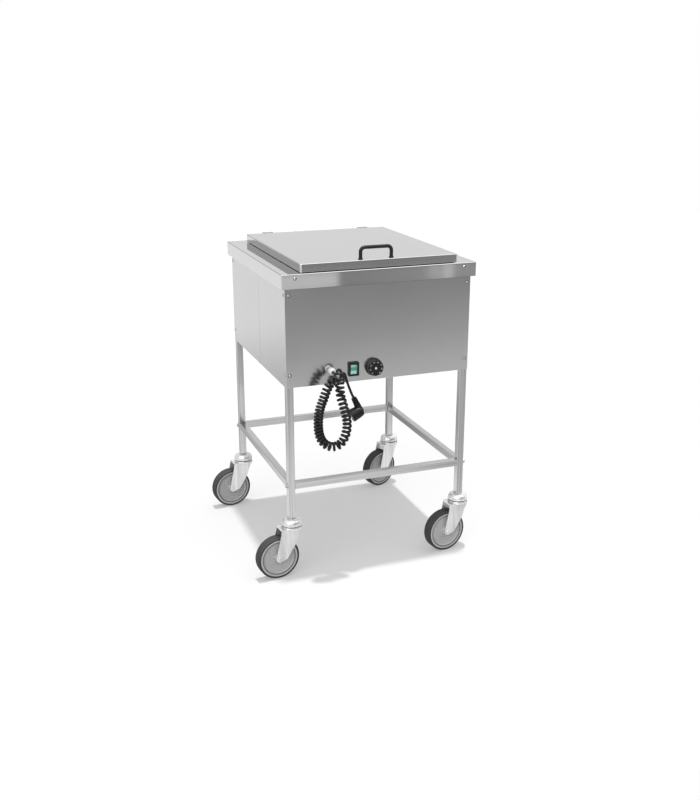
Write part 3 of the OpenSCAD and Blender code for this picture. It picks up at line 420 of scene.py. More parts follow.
def sheetMetal(name, tone, rough, grain=0.000006, wave=0.00006, smudge=0.04, shade=None):
    # brushed along its width, with painted shadow under the rim: a darker field above the height called shade
    f = Finish(name)
    x, y, z = f.at.parts()
    flat = abs(f.facing.parts()[2])
    streak = f.at.join(x * 6, y * (6 + 700 * flat), z * 700).noise(1.0, 3.0, 0.6)
    cloud = f.at.noise(7.0, 3.0, 0.5)
    spots = f.at.noise(38.0, 4.0, 0.6)
    waves = f.stretched(1, 1, 1.6).noise(4.2, 1.0, 0.4)
    colour = (0.5 * cloud + 0.5 * streak).tint(grey(tone * 0.94), grey(tone * 1.06))
    roughness = rough + smudge * (cloud - 0.5) + 0.5 * smudge * (spots - 0.5) + 0.05 * (streak - 0.5)
    # painted shadow: darker above the height shade, just under the rim
    if shade:
        colour = z.above(shade, 0.0022).tint(colour, grey(0.32 * tone))
    height = waves * wave + streak * grain
    return f.close(base_color=colour, metallic=1.0, roughness=roughness, normal=f.bump(height, 1.0))


def tubeMetal(name, tone, rough, railLow, railHigh, legs):
    # drawn tube: its bands run along each length
    f = Finish(name)
    x, y, z = f.at.parts()
    rail = z.between(railLow, railHigh) * (1 - abs(x).above(legs[0]) * abs(y).above(legs[1]))
    upright, lying = f.stretched(170, 170, 1.5), f.stretched(1.5, 1.5, 170)
    bands = rail.blend(upright.noise(1.0, 2.0, 0.6), lying.noise(1.0, 2.0, 0.6))
    cloud = f.at.noise(9.0, 3.0, 0.5)
    colour = bands.above(0.5, 0.2).tint(grey(tone * 0.87), grey(tone * 1.08))
    return f.close(base_color=colour, metallic=1.0, roughness=rough + 0.06 * (cloud - 0.5) + 0.1 * (bands - 0.5),
                   normal=f.bump(bands * 0.00003, 1.0))


def roundMetal(name, tone, rough, tint=(1, 1, 1)):
    f = Finish(name)
    fine = f.at.noise(260.0, 4.0, 0.6)
    cloud = f.at.noise(24.0, 3.0, 0.55)
    colour = cloud.tint(toned(tone * 0.9, tint), toned(tone * 1.07, tint))
    roughness = rough + 0.12 * (cloud - 0.5) + 0.08 * (fine - 0.5)
    return f.close(base_color=colour, metallic=1.0, roughness=roughness, normal=f.bump(fine, 0.00002, 0.5))


def platedZinc(name, tone, rough):
    # zinc plate: half dull, drawn in soft bands down the pressing
    f = Finish(name)
    bands = f.stretched(95, 95, 7).noise(1.0, 2.0, 0.5)
    fine = f.at.noise(320.0, 3.0, 0.6)
    colour = bands.above(0.5, 0.22).tint(grey(0.74 * tone), grey(tone))
    return f.close(base_color=colour, metallic=0.65, roughness=rough + 0.16 * (fine - 0.5),
                   normal=f.bump(bands * 0.0002 + fine * 0.00001, 1.0))


def moulded(name, tone, rough, pit=900.0, depth=0.00004, worn=0.15, tint=(1, 1, 1), shine=0.5):
    f = Finish(name)
    pits = f.at.noise(pit, 2.0, 0.5)
    cloud = f.at.noise(30.0, 3.0, 0.55)
    dust = f.at.noise(130.0, 4.0, 0.6)
    colour = (0.7 * cloud + 0.3 * dust).tint(toned(tone * (1 - worn), tint), toned(tone * (1 + worn), tint))
    roughness = rough + 0.12 * (cloud - 0.5) + 0.08 * (dust - 0.5)
    return f.close(base_color=colour, roughness=roughness, specular_ior_level=shine,
                   normal=f.bump(pits, depth, 0.6))


lensSet = {"middle": 602, "left": (-77, 3), "low": (-3.5, 1.5), "high": (7, 2), "wall": (-72, 0.5), "ribs": 2.6}


def lensGreen(name, spec):
    # clear ribbed lens with a glow for the lamp inside: deep green in the middle; paler above and below, a painted
    # highlight that brightens the glow too; dark along its right edge, with no glow there
    f = Finish(name)
    x, y, z = f.at.parts()
    height = z * 1000 - spec["middle"]
    leftHalf = 1 - (x * 1000).above(*spec["left"])
    # painted highlight: paler below the middle and above it, more on the left half
    paintedHighlight = (1 - height.above(*spec["low"])) * 0.85 + height.above(*spec["high"]) * (0.2 + 0.5 * leftHalf)
    ribs = (x * 1000 * spec["ribs"]).math("FRACT")
    side = (x * 1000).above(*spec["wall"])
    colour = side.tint(paintedHighlight.tint((0.05, 0.22, 0.17, 1), (0.32, 0.58, 0.54, 1)), (0.012, 0.05, 0.04, 1))
    glow = side.tint(paintedHighlight.tint((0.01, 0.06, 0.045, 1), (0.07, 0.14, 0.13, 1)), (0, 0, 0, 1))
    return f.close(base_color=colour, roughness=0.2, coat_weight=0.5, coat_roughness=0.08, emission_color=glow,
                   emission_strength=1.0, normal=f.bump(ribs, 0.0001, 0.4))


def ringed(name, tone, rough):
    # grey nylon, used in three tones: the rings are in the wheel's shape, and the lighter and darker copies paint a
    # highlight and shade on them
    f = Finish(name)
    cloud = f.at.noise(30.0, 3.0, 0.55)
    dust = f.at.noise(160.0, 4.0, 0.6)
    colour = (0.6 * cloud + 0.4 * dust).tint(grey(tone * 0.93), grey(tone * 1.07))
    return f.close(base_color=colour, roughness=rough + 0.1 * (dust - 0.5), normal=f.bump(dust, 0.00004, 0.6))


finishes = {
    "deck_sheet": sheetMetal("deck_steel", 0.76, 0.035, wave=0.00002, smudge=0.015),
    "lid_sheet": sheetMetal("lid_steel", 0.76, 0.18),
    # the housing's top band, under the rim, carries painted shadow
    "housing_sheet": sheetMetal("housing_steel", 0.72, 0.18, shade=0.8375),
    "frame_tube": tubeMetal("tube_steel", 0.69, 0.24, 0.262, 0.288, (0.2529, 0.2629)),
    "well_sheet": sheetMetal("well_steel", 0.78, 0.26, 0.00002, 0.0002, 0.06),
    "hinge_steel": roundMetal("hinge_steel", 0.13, 0.4),
    "fixing_steel": roundMetal("fixing_steel", 0.66, 0.34),
    "zinc": platedZinc("bright_zinc", 0.96, 0.22),
    "plug_brass": roundMetal("pin_nickel", 0.80, 0.2),
    "copper": roundMetal("copper", 0.75, 0.3, (1.0, 0.6, 0.42)),
    "element_sheath": roundMetal("element_sheath", 0.32, 0.45),
    "mineral_wool": moulded("mineral_wool", 0.55, 0.95, 500.0, 0.0008, 0.3, (1.0, 0.88, 0.6)),
    "black_plastic": moulded("black_plastic", 0.014, 0.42, 1100.0, 0.00003, shine=0.25),
    "inner_plastic": moulded("inner_plastic", 0.4, 0.5),
    "green_lens": lensGreen("green_lens", lensSet),
    "gland_plastic": moulded("gland_plastic", 0.66, 0.42),
    "cord_rubber": moulded("cord_rubber", 0.010, 0.34, 1500.0, 0.00003, shine=0.3),
    "wheel_plastic": ringed("wheel_plastic", 0.41, 0.5),
    "tyre_rubber": moulded("tyre_rubber", 0.046, 0.7, 1200.0, 0.00006, 0.12, shine=0.25),
}
# near-black metal for painted shade round screw and rivet heads, in the caster cap's gap and inside the forks
fixingShade = roundMetal("fixing_shade", 0.04, 0.5)
# lighter and darker copies of the wheel's nylon: painted highlight and painted shade on the rim
ringHighlightAndShade = [ringed("wheel_rim_painted_highlight", 0.52, 0.4), ringed("wheel_rim_painted_shade", 0.14, 0.5)]
glandShade = moulded("gland_shade", 0.30, 0.5)
dialWhite = moulded("dial_white", 0.34, 0.4, 900.0, 0.00002, 0.05)
print("finishes made:", len(finishes))


# shaping helpers: everything below is in millimetres until makePiece
move = Matrix.Translation


def makePiece(name, bm, replaced, slot=None, finish=None, smooth=35, weighted=True, more=()):
    bm = gathered(bm) if isinstance(bm, list) else bm
    slot = slot or slotOf(replaced[0])
    bmesh.ops.scale(bm, vec=(0.001, 0.001, 0.001), verts=bm.verts[:])
    data = bpy.data.meshes.new(name)
    bm.to_mesh(data)
    bm.free()
    for one in (finish or finishes[slot], *more):
        data.materials.append(one)
    data.shade_smooth()
    data.set_sharp_from_angle(angle=math.radians(smooth))
    piece = addObject(name, data, bodyOf(replaced[0]), slot, replaced)
    if weighted:
        normals = piece.modifiers.new("weighted", "WEIGHTED_NORMAL")
        normals.keep_sharp = True
        normals.weight = 60
    return piece


def only(geom, kind):
    return [part for part in geom if isinstance(part, kind)]


def mirrored(half):
    # a profile with its other half, below the middle
    return half + [(point[0], -point[1], *point[2:]) for point in reversed(half)]


def quarter(inner, outer, low, high, steps):
    # a quarter of an ellipse from the outside up to the inside
    turns = [math.pi / 2 * k / steps for k in range(1, steps + 1)]
    return [(inner + (outer - inner) * math.cos(turn), low + (high - low) * math.sin(turn)) for turn in turns]


def merged(node):
    bm = bmesh.new()
    bm.from_mesh(nodes[node].data)
    bmesh.ops.scale(bm, vec=(1000, 1000, 1000), verts=bm.verts[:])
    bmesh.ops.remove_doubles(bm, verts=bm.verts[:], dist=0.005)
    bmesh.ops.dissolve_limit(bm, angle_limit=0.01, verts=bm.verts[:], edges=bm.edges[:])
    return bm


def extent(bm):
    return [[pick(v.co[k] for v in bm.verts) for k in range(3)] for pick in (min, max)]


def outerEdges(bm, angle=40, shortest=0.0):
    return [e for e in bm.edges if len(e.link_faces) == 2 and e.calc_length() > shortest
            and e.calc_face_angle_signed(0) > math.radians(angle)]


def boxEdges(bm, near=0.2):
    low, high = extent(bm)
    planes = [(k, side) for k in range(3) for side in (low[k], high[k])]
    return [e for e in bm.edges
            if sum(all(abs(v.co[k] - side) < near for v in e.verts) for k, side in planes) >= 2]


def roundOff(bm, edges, width, segments=3):
    bmesh.ops.bevel(bm, geom=edges, offset=width, offset_type="OFFSET", segments=segments, profile=0.5,
                    affect="EDGES", material=-1, clamp_overlap=True)
    return bm


def softened(name, node, width, pick=boxEdges, segments=3, **more):
    bm = merged(node)
    return makePiece(name, roundOff(bm, pick(bm), width, segments), [node], **more)


def eased(points, steps=4, closed=False):
    # corners of a profile made round: each point is (across, along) or (across, along, radius)
    out, count = [], len(points)
    for i, point in enumerate(points):
        corner = Vector(point[:2])
        if len(point) < 3 or (not closed and i in (0, count - 1)):
            out.append(tuple(corner))
            continue
        u = (Vector(points[i - 1][:2]) - corner).normalized()
        v = (Vector(points[(i + 1) % count][:2]) - corner).normalized()
        half = u.angle(v) / 2
        middle = corner + (u + v).normalized() * point[2] / math.sin(half)
        start = corner + u * point[2] / math.tan(half) - middle
        stop = corner + v * point[2] / math.tan(half) - middle
        sweep = math.atan2(start.cross(stop), start.dot(stop))
        for k in range(steps + 1):
            turn = sweep * k / steps
            out.append((middle.x + start.x * math.cos(turn) - start.y * math.sin(turn),
                        middle.y + start.x * math.sin(turn) + start.y * math.cos(turn)))
    return out


def turned(profile, steps=48, closed=False):
    bm = bmesh.new()
    verts = [bm.verts.new((across, 0, along)) for across, along in profile]
    for a, b in zip(verts, verts[1:] + (verts[:1] if closed else [])):
        if a is not b:
            bm.edges.new((a, b))
    bmesh.ops.spin(bm, geom=bm.verts[:] + bm.edges[:], cent=(0, 0, 0), axis=(0, 0, 1), dvec=(0, 0, 0),
                   angle=2 * math.pi, steps=steps, use_merge=True, use_duplicate=False)
    bmesh.ops.remove_doubles(bm, verts=bm.verts[:], dist=0.001)
    bmesh.ops.recalc_face_normals(bm, faces=bm.faces[:])
    return bm


def hoop(points, steps, around):
    return turned(eased(points, steps, True), around, True)


def lay(at, axis):
    return move(Vector(at)) @ Vector(axis).to_track_quat("Z", "Y").to_matrix().to_4x4()


def gathered(parts):
    # each part is a shape and the places where it is stamped
    bm = bmesh.new()
    for shape, places in parts:
        stamp = bpy.data.meshes.new("stamp")
        shape.to_mesh(stamp)
        shape.free()
        for place in places:
            before = len(bm.verts)
            bm.from_mesh(stamp)
            bm.verts.ensure_lookup_table()
            bmesh.ops.transform(bm, matrix=place, verts=bm.verts[before:])
        bpy.data.meshes.remove(stamp)
    return bm


def bar(size, middle, edge):
    bm = bmesh.new()
    bmesh.ops.create_cube(bm, size=1.0, matrix=move(middle) @ Matrix.Diagonal((*size, 1)))
    return roundOff(bm, bm.edges[:], edge, 2)


def hexagon(across, height, edge):
    bm = bmesh.new()
    bmesh.ops.create_cone(bm, cap_ends=True, cap_tris=False, segments=6, radius1=across, radius2=across,
                          depth=height, matrix=move((0, 0, height / 2)))
    return roundOff(bm, bm.edges[:], edge, 2)


def crossScrew(spec):
    # pan head with a cross recess, on its shank, and a thin ring round the head for painted shade
    r, t, shank, length = spec["head"], spec["height"], spec["shank"], spec["length"]
    shadeRim, steps = r + 1.1, 16
    bm = turned([(0, t), (0.2 * r, t), (0.52 * r, 0.94 * t), (0.8 * r, 0.74 * t), (0.95 * r, 0.45 * t), (r, 0.12 * t),
                 (0.98 * r, 0.12), (shadeRim, 0.12), (shadeRim, 0), (shank, 0), (shank, -length), (0, -length)], steps)
    # the ring round the head takes painted shade
    for face in bm.faces:
        place = face.calc_center_median()
        face.material_index = int(place.xy.length > r and place.z > 0)
    bmesh.ops.rotate(bm, cent=(0, 0, 0), matrix=Matrix.Rotation(math.pi / steps, 3, "Z"), verts=bm.verts[:])
    slots = []
    for face in bm.faces:
        place = face.calc_center_median()
        angle = math.degrees(math.atan2(place.y, place.x)) % 90
        reach = max(v.co.xy.length for v in face.verts)
        if place.z > 0.5 * t and reach < 0.6 * r and (reach < 0.3 * r or min(angle, 90 - angle) < 5):
            slots.append(face)
    lifted = bmesh.ops.extrude_face_region(bm, geom=slots)["geom"]
    bmesh.ops.delete(bm, geom=slots, context="FACES")
    bmesh.ops.translate(bm, vec=(0, 0, -0.45 * t), verts=only(lifted, bmesh.types.BMVert))
    bmesh.ops.recalc_face_normals(bm, faces=bm.faces[:])
    return bm


# frame
tubeSet = {"corner": 2.2, "segments": 4, "plugEdge": 0.7}
for kind, places in (("leg_", corners), ("rail_", ("front", "back", "left", "right"))):
    for place in places:
        softened(kind + "tube_" + place, kind + place, tubeSet["corner"], segments=tubeSet["segments"])
softened("rail_plugs", "rail_end_plugs", tubeSet["plugEdge"], lambda bm: outerEdges(bm, 40, 5))

railBoltSet = {"face": 273, "leg": 273, "height": 275, "washer": 8, "washerThick": 1.2, "head": 7, "headHeight": 5.28,
               "collar": 5.6, "collarHeight": 0.8, "shank": 4, "length": 38}


def railBolts(spec):
    thick, shank, wide, crown = spec["washerThick"], spec["shank"], spec["washer"], spec["collarHeight"]
    washer = hoop([(shank, 0), (wide, 0, 0.3), (wide, thick, 0.3), (shank, thick)], 2, 40)
    head = hexagon(spec["head"], spec["headHeight"] - crown, 0.5)
    collar = turned([(0, crown), (spec["collar"], crown), (spec["collar"], 0), (0, 0)], 32)
    rod = turned(eased([(0, 0), (shank, 0), (shank, -spec["length"], 0.8), (0, -spec["length"])]), 24)
    places = [lay((sx * spec["face"], sy * spec["leg"], spec["height"]), (sx, 0, 0)) for sx, sy in signs]
    over = [place @ move((0, 0, thick)) for place in places]
    top = [place @ move((0, 0, spec["headHeight"] + thick - crown)) for place in places]
    makePiece("hex_bolts", [(washer, places), (head, over), (collar, top), (rod, places)], ["rail_bolts"])


railBolts(railBoltSet)
print("frame made")

# deck, housing and well
sheetSet = {
    "deckEdge": 2.4, "shellEdge": 1.8, "wellFloor": 12,
    "rivetX": 247, "rivetZ": 868, "rivetY": 295, "rivetShade": (0.9, 3.55),     # dark within and beyond
    "screwZ": (600, 822), "screwAcross": (263, 273), "screwFace": (274, 284),
    "screw": {"head": 4, "height": 2.2, "shank": 2, "length": 5.5},
}


def deckEdges(bm):
    # the folds round the top and down the corners, not the lower edge
    low = extent(bm)[0][2]
    return [e for e in boxEdges(bm) if max(v.co.z for v in e.verts) > low + 2]


softened("deck_pan", "top_deck", sheetSet["deckEdge"], deckEdges, segments=4)
softened("front_housing", "front_shell", sheetSet["shellEdge"])
softened("rear_housing", "rear_shell", sheetSet["shellEdge"])


def floorEdges(bm):
    low = extent(bm)[0][2]
    return [e for e in bm.edges if all(v.co.z < low + 2 for v in e.verts) and len(e.link_faces) == 2
            and abs(e.calc_face_angle_signed(0)) > 1]


softened("well_pan", "well", sheetSet["wellFloor"], floorEdges, 6)


def deckRivets(spec):
    rivet = turned([(0, 0.5), (0.7, 0.55), (0.9, 1.25), (1.6, 1.35), (2.8, 1.0), (3.4, 0.5), (3.6, 0.1), (4.6, 0.1),
                    (4.6, 0), (1.6, 0), (1.6, -3.4), (1.9, -3.7), (0, -4)], 32)
    within, beyond = spec["rivetShade"]
    # painted shade in the dimple and on the ring round the head
    for face in rivet.faces:
        place = face.calc_center_median()
        face.material_index = int(place.xy.length > beyond or (place.xy.length < within and place.z > 0))
    places = [lay((sx * spec["rivetX"], sy * spec["rivetY"], spec["rivetZ"]), (0, sy, 0)) for sx, sy in signs]
    makePiece("skirt_rivets", [(rivet, places)], ["deck_rivets"], more=[fixingShade])


def housingScrews(spec):
    places = []
    (acrossX, acrossY), (faceX, faceY) = spec["screwAcross"], spec["screwFace"]
    for sx, sy in signs:
        for z in spec["screwZ"]:
            places.append(lay((sx * faceX, sy * acrossY, z), (sx, 0, 0)))
            places.append(lay((sx * acrossX, sy * faceY, z), (0, sy, 0)))
    makePiece("housing_screws", [(crossScrew(spec["screw"]), places)], ["shell_screws"], more=[fixingShade])


deckRivets(sheetSet)
housingScrews(sheetSet)
print("sheet pieces made")

# lid, handle and hinges
lidSet = {"edge": 2.2, "corner": 5.0, "lift": 1.6}


def lidEdges(bm):
    low, high = extent(bm)
    found = []
    for e in bm.edges:
        place = (e.verts[0].co + e.verts[1].co) / 2
        rim = min(place.x - low[0], high[0] - place.x, place.y - low[1], high[1] - place.y)
        if all(abs(v.co.z - high[2]) < 0.1 for v in e.verts) and rim < 6 and e.calc_face_angle_signed(0) > 1:
            found.append(e)
    return found


def lidPan(spec):
    # the turned-down rim ends just above the deck
    bm = merged("lid")
    low = extent(bm)[0][2]
    for vert in bm.verts:
        if vert.co.z < low + 0.1:
            vert.co.z += spec["lift"]
    folds = [e for e in boxEdges(bm) if abs(e.verts[0].co.z - e.verts[1].co.z) > 10]
    roundOff(bm, folds, spec["corner"], 5)
    makePiece("lid_pan", roundOff(bm, lidEdges(bm), spec["edge"], 4), ["lid"])


lidPan(lidSet)

handleSet = {"x": -8, "y": -269, "foot": 904.3, "rod": 5, "half": 45, "rise": 31, "bend": 12, "steps": 10,
             "around": 28, "collar": 6.4, "collarHeight": 2.2}


def lidHandle(spec):
    # a ring swept up, over and down again
    bm = bmesh.new()
    across, rise, bend = spec["half"], spec["rise"], spec["bend"]
    ring = bmesh.ops.create_circle(bm, cap_ends=False, radius=spec["rod"], segments=spec["around"],
                                   matrix=move((-across, 0, 0)))["verts"]
    edges = list({e for v in ring for e in v.link_edges})
    foot = edges[:]

    def pull(edges, vec):
        made = bmesh.ops.extrude_edge_only(bm, edges=edges)["geom"]
        bmesh.ops.translate(bm, vec=vec, verts=only(made, bmesh.types.BMVert))
        return only(made, bmesh.types.BMEdge)

    def swing(edges, middle):
        verts = list({v for e in edges for v in e.verts})
        made = bmesh.ops.spin(bm, geom=verts + edges, cent=middle, axis=(0, 1, 0), dvec=(0, 0, 0),
                              angle=math.pi / 2, steps=spec["steps"], use_merge=False, use_duplicate=False)
        return only(made["geom_last"], bmesh.types.BMEdge)

    edges = pull(edges, (0, 0, rise - bend))
    edges = swing(edges, (-across + bend, 0, rise - bend))
    edges = pull(edges, (2 * (across - bend), 0, 0))
    edges = swing(edges, (across - bend, 0, rise - bend))
    edges = pull(edges, (0, 0, bend - rise))
    bmesh.ops.holes_fill(bm, edges=edges + foot, sides=0)
    bmesh.ops.recalc_face_normals(bm, faces=bm.faces[:])
    bore, wide, high = spec["rod"] - 1, spec["collar"], spec["collarHeight"]
    collar = hoop([(bore, 0), (wide, 0, 0.4), (wide, high, 0.8), (bore, high)], 3, 32)
    at = move((spec["x"], spec["y"], spec["foot"]))
    feet = [at @ move((k * across, 0, 0)) for k in (-1, 1)]
    makePiece("grip_bar", [(bm, [at]), (collar, feet)], ["lid_handle"])


lidHandle(handleSet)


def smallEdges(bm):
    return outerEdges(bm, 50, 1.2)


softened("hinge_feet", "hinge_brackets", 0.3, smallEdges, 2)
softened("hinge_plates", "hinge_leaves", 0.3, smallEdges, 2)

hingeSet = {"across": 159, "along": 271, "height": 900.8, "pin": 2.2, "half": 17, "screwAcross": 10.2,
            "screwAlong": 288.5, "screwHeight": 882, "screw": {"head": 3.4, "height": 1.8, "shank": 1.8, "length": 6}}


def hingeFixings(spec):
    thick, half = spec["pin"], spec["half"]
    pin = turned(eased([(0, -half), (thick, -half, 0.6), (thick, half, 0.6), (0, half)], 3), 28)
    pins = [lay((sx * spec["across"], spec["along"], spec["height"]), (1, 0, 0)) for sx in (-1, 1)]
    makePiece("hinge_rods", [(pin, pins)], ["hinge_pins"])
    places = [move((sx * spec["across"] + k * spec["screwAcross"], spec["screwAlong"],
                                  spec["screwHeight"])) for sx, k in signs]
    makePiece("hinge_fixings", [(crossScrew(spec["screw"]), places)], ["hinge_screws"], more=[fixingShade])


hingeFixings(hingeSet)
print("lid and hinges made")

# controls on the front panel
knobSet = {
    "at": (-18, -284.4, 602),      # middle of its back face
    "skirt": 25.4, "skirtHeight": 3, "hub": 22.6, "height": 18,
    "sink": 0.5, "flutes": 12, "fluteDepth": 1.5, "fluteFoot": 2.5, "bore": 3.05, "boreDepth": 12.5,
    "marks": ("0", "30", "40", "50", "60", "70", "80", "90"), "marksAt": 17.0, "marksHigh": 5.8,
    "marksFrom": 140, "marksStep": 40,
    "cap": 3.4,
}


def dialKnob(spec):
    skirt, low, hub, high = spec["skirt"], spec["skirtHeight"], spec["hub"], spec["height"]
    bore, deep, face, flutes = spec["bore"], spec["boreDepth"], high - spec["sink"], spec["flutes"]
    profile = eased([(bore, deep), (bore, 0), (skirt - 1.5, 0, 0.4), (skirt, 0.8, 0.4), (skirt - 0.6, low - 1, 0.8),
                     (hub + 1.2, low, 1.0), (hub, high, 1.6), (hub - 1.9, high, 0.4), (hub - 2.3, face, 0.2),
                     (0, face)], 4)
    bm = turned(profile + [(0, deep)], 144, True)
    for vert in bm.verts:
        reach = vert.co.xy.length
        if reach > hub - 4 and vert.co.z > low:
            angle = math.atan2(vert.co.y, vert.co.x) + math.pi / flutes
            wave = max(0.0, math.cos(flutes * angle) - 0.1) ** 0.8
            lift = min(1.0, (vert.co.z - low) / spec["fluteFoot"])
            vert.co.xy *= 1 - spec["fluteDepth"] * wave * lift / reach
    bmesh.ops.transform(bm, matrix=lay(spec["at"], (0, -1, 0)), verts=bm.verts[:])
    makePiece("dial_knob", bm, ["thermostat_knob"], smooth=40)


def dialMarks(spec):
    # numbers round the face and a small bright cap in its middle
    lift = move((0, 0, spec["height"] - spec["sink"]))
    upright = move(spec["at"]) @ Matrix.Rotation(math.pi / 2, 4, "X") @ lift
    parts = []
    for k, label in enumerate(spec["marks"]):
        font = bpy.data.curves.new("mark", "FONT")
        font.body, font.size, font.extrude, font.offset = label, spec["marksHigh"], 0.08, 0.12
        font.align_x, font.align_y = "CENTER", "CENTER"
        font.resolution_u = 3
        letter = placed("mark", font)
        flat = bpy.data.meshes.new_from_object(letter.evaluated_get(bpy.context.evaluated_depsgraph_get()))
        bpy.data.objects.remove(letter)
        shape = bmesh.new()
        shape.from_mesh(flat)
        bpy.data.meshes.remove(flat)
        bmesh.ops.remove_doubles(shape, verts=shape.verts[:], dist=0.001)
        turn = Matrix.Rotation(math.radians(spec["marksFrom"] - k * spec["marksStep"]), 4, "Z")
        parts.append((shape, [upright @ turn @ move((0, spec["marksAt"], 0.04))]))
    makePiece("dial_numbers", parts, ["thermostat_knob"], slot="gland_plastic", finish=dialWhite, weighted=False)
    wide = spec["cap"]
    cap = turned(eased([(0, 0.9), (wide * 0.6, 0.8), (wide, 0.45, 0.4), (wide, 0), (0, 0)], 3), 32)
    makePiece("dial_cap", [(cap, [lay(spec["at"], (0, -1, 0)) @ lift])], ["thermostat_knob"], slot="zinc")


dialKnob(knobSet)
dialMarks(knobSet)

switchSet = {
    "at": (-79, -288, 602), "lean": 8, "width": 20.4, "top": 13, "front": 5, "dish": 1.5, "back": 4,
    "pivot": 1.5, "pivotOut": 1.2, "bezelEdge": 1.4, "bezelHalf": 14, "bezelDeep": 8.5,
}


def bezelEdges(bm):
    # those of the front face, and those that run back from it on the outside
    front, middle = extent(bm)[0][1], switchSet["at"][0]
    found = []
    for e in outerEdges(bm, 50, 3):
        back = max(v.co.y for v in e.verts) - front
        aside = min(abs(v.co.x - middle) for v in e.verts)
        if back < 0.1 or (back < switchSet["bezelDeep"] and aside > switchSet["bezelHalf"]):
            found.append(e)
    return found


softened("switch_bezel", "switch_housing", switchSet["bezelEdge"], bezelEdges, 4)


def rockerKey(spec):
    # one side's outline, thickened across the switch
    bm = bmesh.new()
    top, front, back, dish = spec["top"], spec["front"], spec["back"], spec["dish"]
    outline = eased([(-back, -top, 0.8), (-back, top, 0.8), (front, top, 1.0), (front - dish * 0.5, top / 2),
                     (front - dish, 0), (front - dish * 0.5, -top / 2), (front, -top, 1.0)], 3, True)
    verts = [bm.verts.new((-spec["width"] / 2, -forward, up)) for forward, up in outline]
    face = bm.faces.new(verts)
    made = bmesh.ops.extrude_face_region(bm, geom=[face])["geom"]
    bmesh.ops.translate(bm, vec=(spec["width"], 0, 0), verts=only(made, bmesh.types.BMVert))
    bmesh.ops.recalc_face_normals(bm, faces=bm.faces[:])
    rims = [e for e in outerEdges(bm, 50) if abs(e.verts[0].co.x - e.verts[1].co.x) < 0.01]
    roundOff(bm, rims, 0.6, 3)
    half, pivot = spec["width"] / 2 + spec["pivotOut"], spec["pivot"]
    axle = turned([(0, -half), (pivot, -half), (pivot, half), (0, half)], 24)
    tilt = move(spec["at"]) @ Matrix.Rotation(math.radians(spec["lean"]), 4, "X")
    across = lay((0, 0, 0), (1, 0, 0))
    makePiece("rocker_key", [(bm, [tilt]), (axle, [tilt @ across])], ["switch_rocker"], smooth=30)


rockerKey(switchSet)

glandSet = {"at": (-146, -284, 604), "hex": 12, "hexThick": 5, "barrel": 10, "end": 22, "mouth": 7.5, "bore": 3.8,
            "thread": 8, "inside": 12, "ribs": 24, "ribDepth": 0.5}


def cordGland(spec):
    base = hexagon(spec["hex"], spec["hexThick"], 0.7)
    # the hex base takes a darker grey, painted shade
    for face in base.faces:
        face.material_index = 1
    hexThick, end, barrel = spec["hexThick"], spec["end"], spec["barrel"]
    bore, mouth, thread, inside = spec["bore"], spec["mouth"], spec["thread"], spec["inside"]
    dome = hoop([(bore, hexThick - 0.2), (barrel, hexThick - 0.2), (barrel, end - 4.5, 2.0), (mouth, end - 0.6, 1.0),
                 (mouth - 1.6, end, 0.4), (bore + 0.9, end, 0.4), (bore, end - 1.2)], 4, 96)
    for vert in dome.verts:
        reach = vert.co.xy.length
        if reach > barrel - 0.6 and hexThick + 1 < vert.co.z < end - 6:
            wave = max(0.0, math.cos(spec["ribs"] * math.atan2(vert.co.y, vert.co.x)))
            vert.co.xy *= 1 - spec["ribDepth"] * wave / reach
    sleeve = hoop([(bore, 0), (thread, 0), (thread, -inside, 0.6), (bore, -inside)], 3, 48)
    place = [lay(spec["at"], (0, -1, 0))]
    makePiece("cord_gland", [(base, place), (dome, place), (sleeve, place)], ["cable_gland"], more=[glandShade])


cordGland(glandSet)
softened("gland_nut", "gland_locknut", 0.5, smallEdges, 2)

plugSet = {"radius": 18.5, "band": 10, "depth": 36, "nose": 13, "neckWide": 10.5, "neckThin": 7.5, "pin": 2.4,
           "pinLength": 19, "pinPitch": 19, "ribs": 6, "ribLow": 19}


def mainsPlug(spec, cord):
    at, out, up = plugFrame(cord)
    radius, band, depth, nose = spec["radius"], spec["band"], spec["depth"], spec["nose"]
    profile = [(0, 0)] + eased([(radius - 1.6, 0), (radius - 1.4, 0), (radius, 1.2, 0.8), (radius, band - 1.2, 0.6),
                                (radius - 0.8, band - 0.6, 0.3), (radius - 0.8, band, 0.3)], 3)
    body = turned(profile + quarter(nose, radius - 0.6, band, depth, 12) + [(0, depth)], 72)
    length, ribs, ribLow = cord["neckTop"], spec["ribs"], spec["ribLow"]
    foot, tip = spec["neckWide"], spec["neckThin"]
    neck = [(foot * math.sin(math.pi / 16 * k), -foot * math.cos(math.pi / 16 * k)) for k in range(9)]
    span = (length - ribLow) / ribs
    for k in range(ribs):
        low = ribLow + k * span
        wide, thin = (foot + (tip - foot) * high / length for high in (low, low + span))
        neck += [(wide, low), (wide, low + 0.55 * span), (wide - 1.5, low + 0.65 * span),
                 (thin - 1.4, low + 0.92 * span)]
    neckShape = turned(neck + [(tip, length), (0, length)], 48)
    flat = lay(at, out)
    stem = lay(at + cord["neckIn"] * out, up)
    makePiece("plug_moulding", [(body, [flat]), (neckShape, [stem])], ["plug_body"], smooth=30)
    pin, length = spec["pin"], spec["pinLength"]
    prong = turned(eased([(0, 0), (pin, 0), (pin, length, 1.2), (0, length)], 4), 28)
    places = [lay(at + Vector((0, k * spec["pinPitch"] / 2, 0)), -out) for k in (-1, 1)]
    makePiece("plug_prongs", [(prong, places)], ["plug_pins"])


mainsPlug(plugSet, cordSet)
print("controls and plug made")

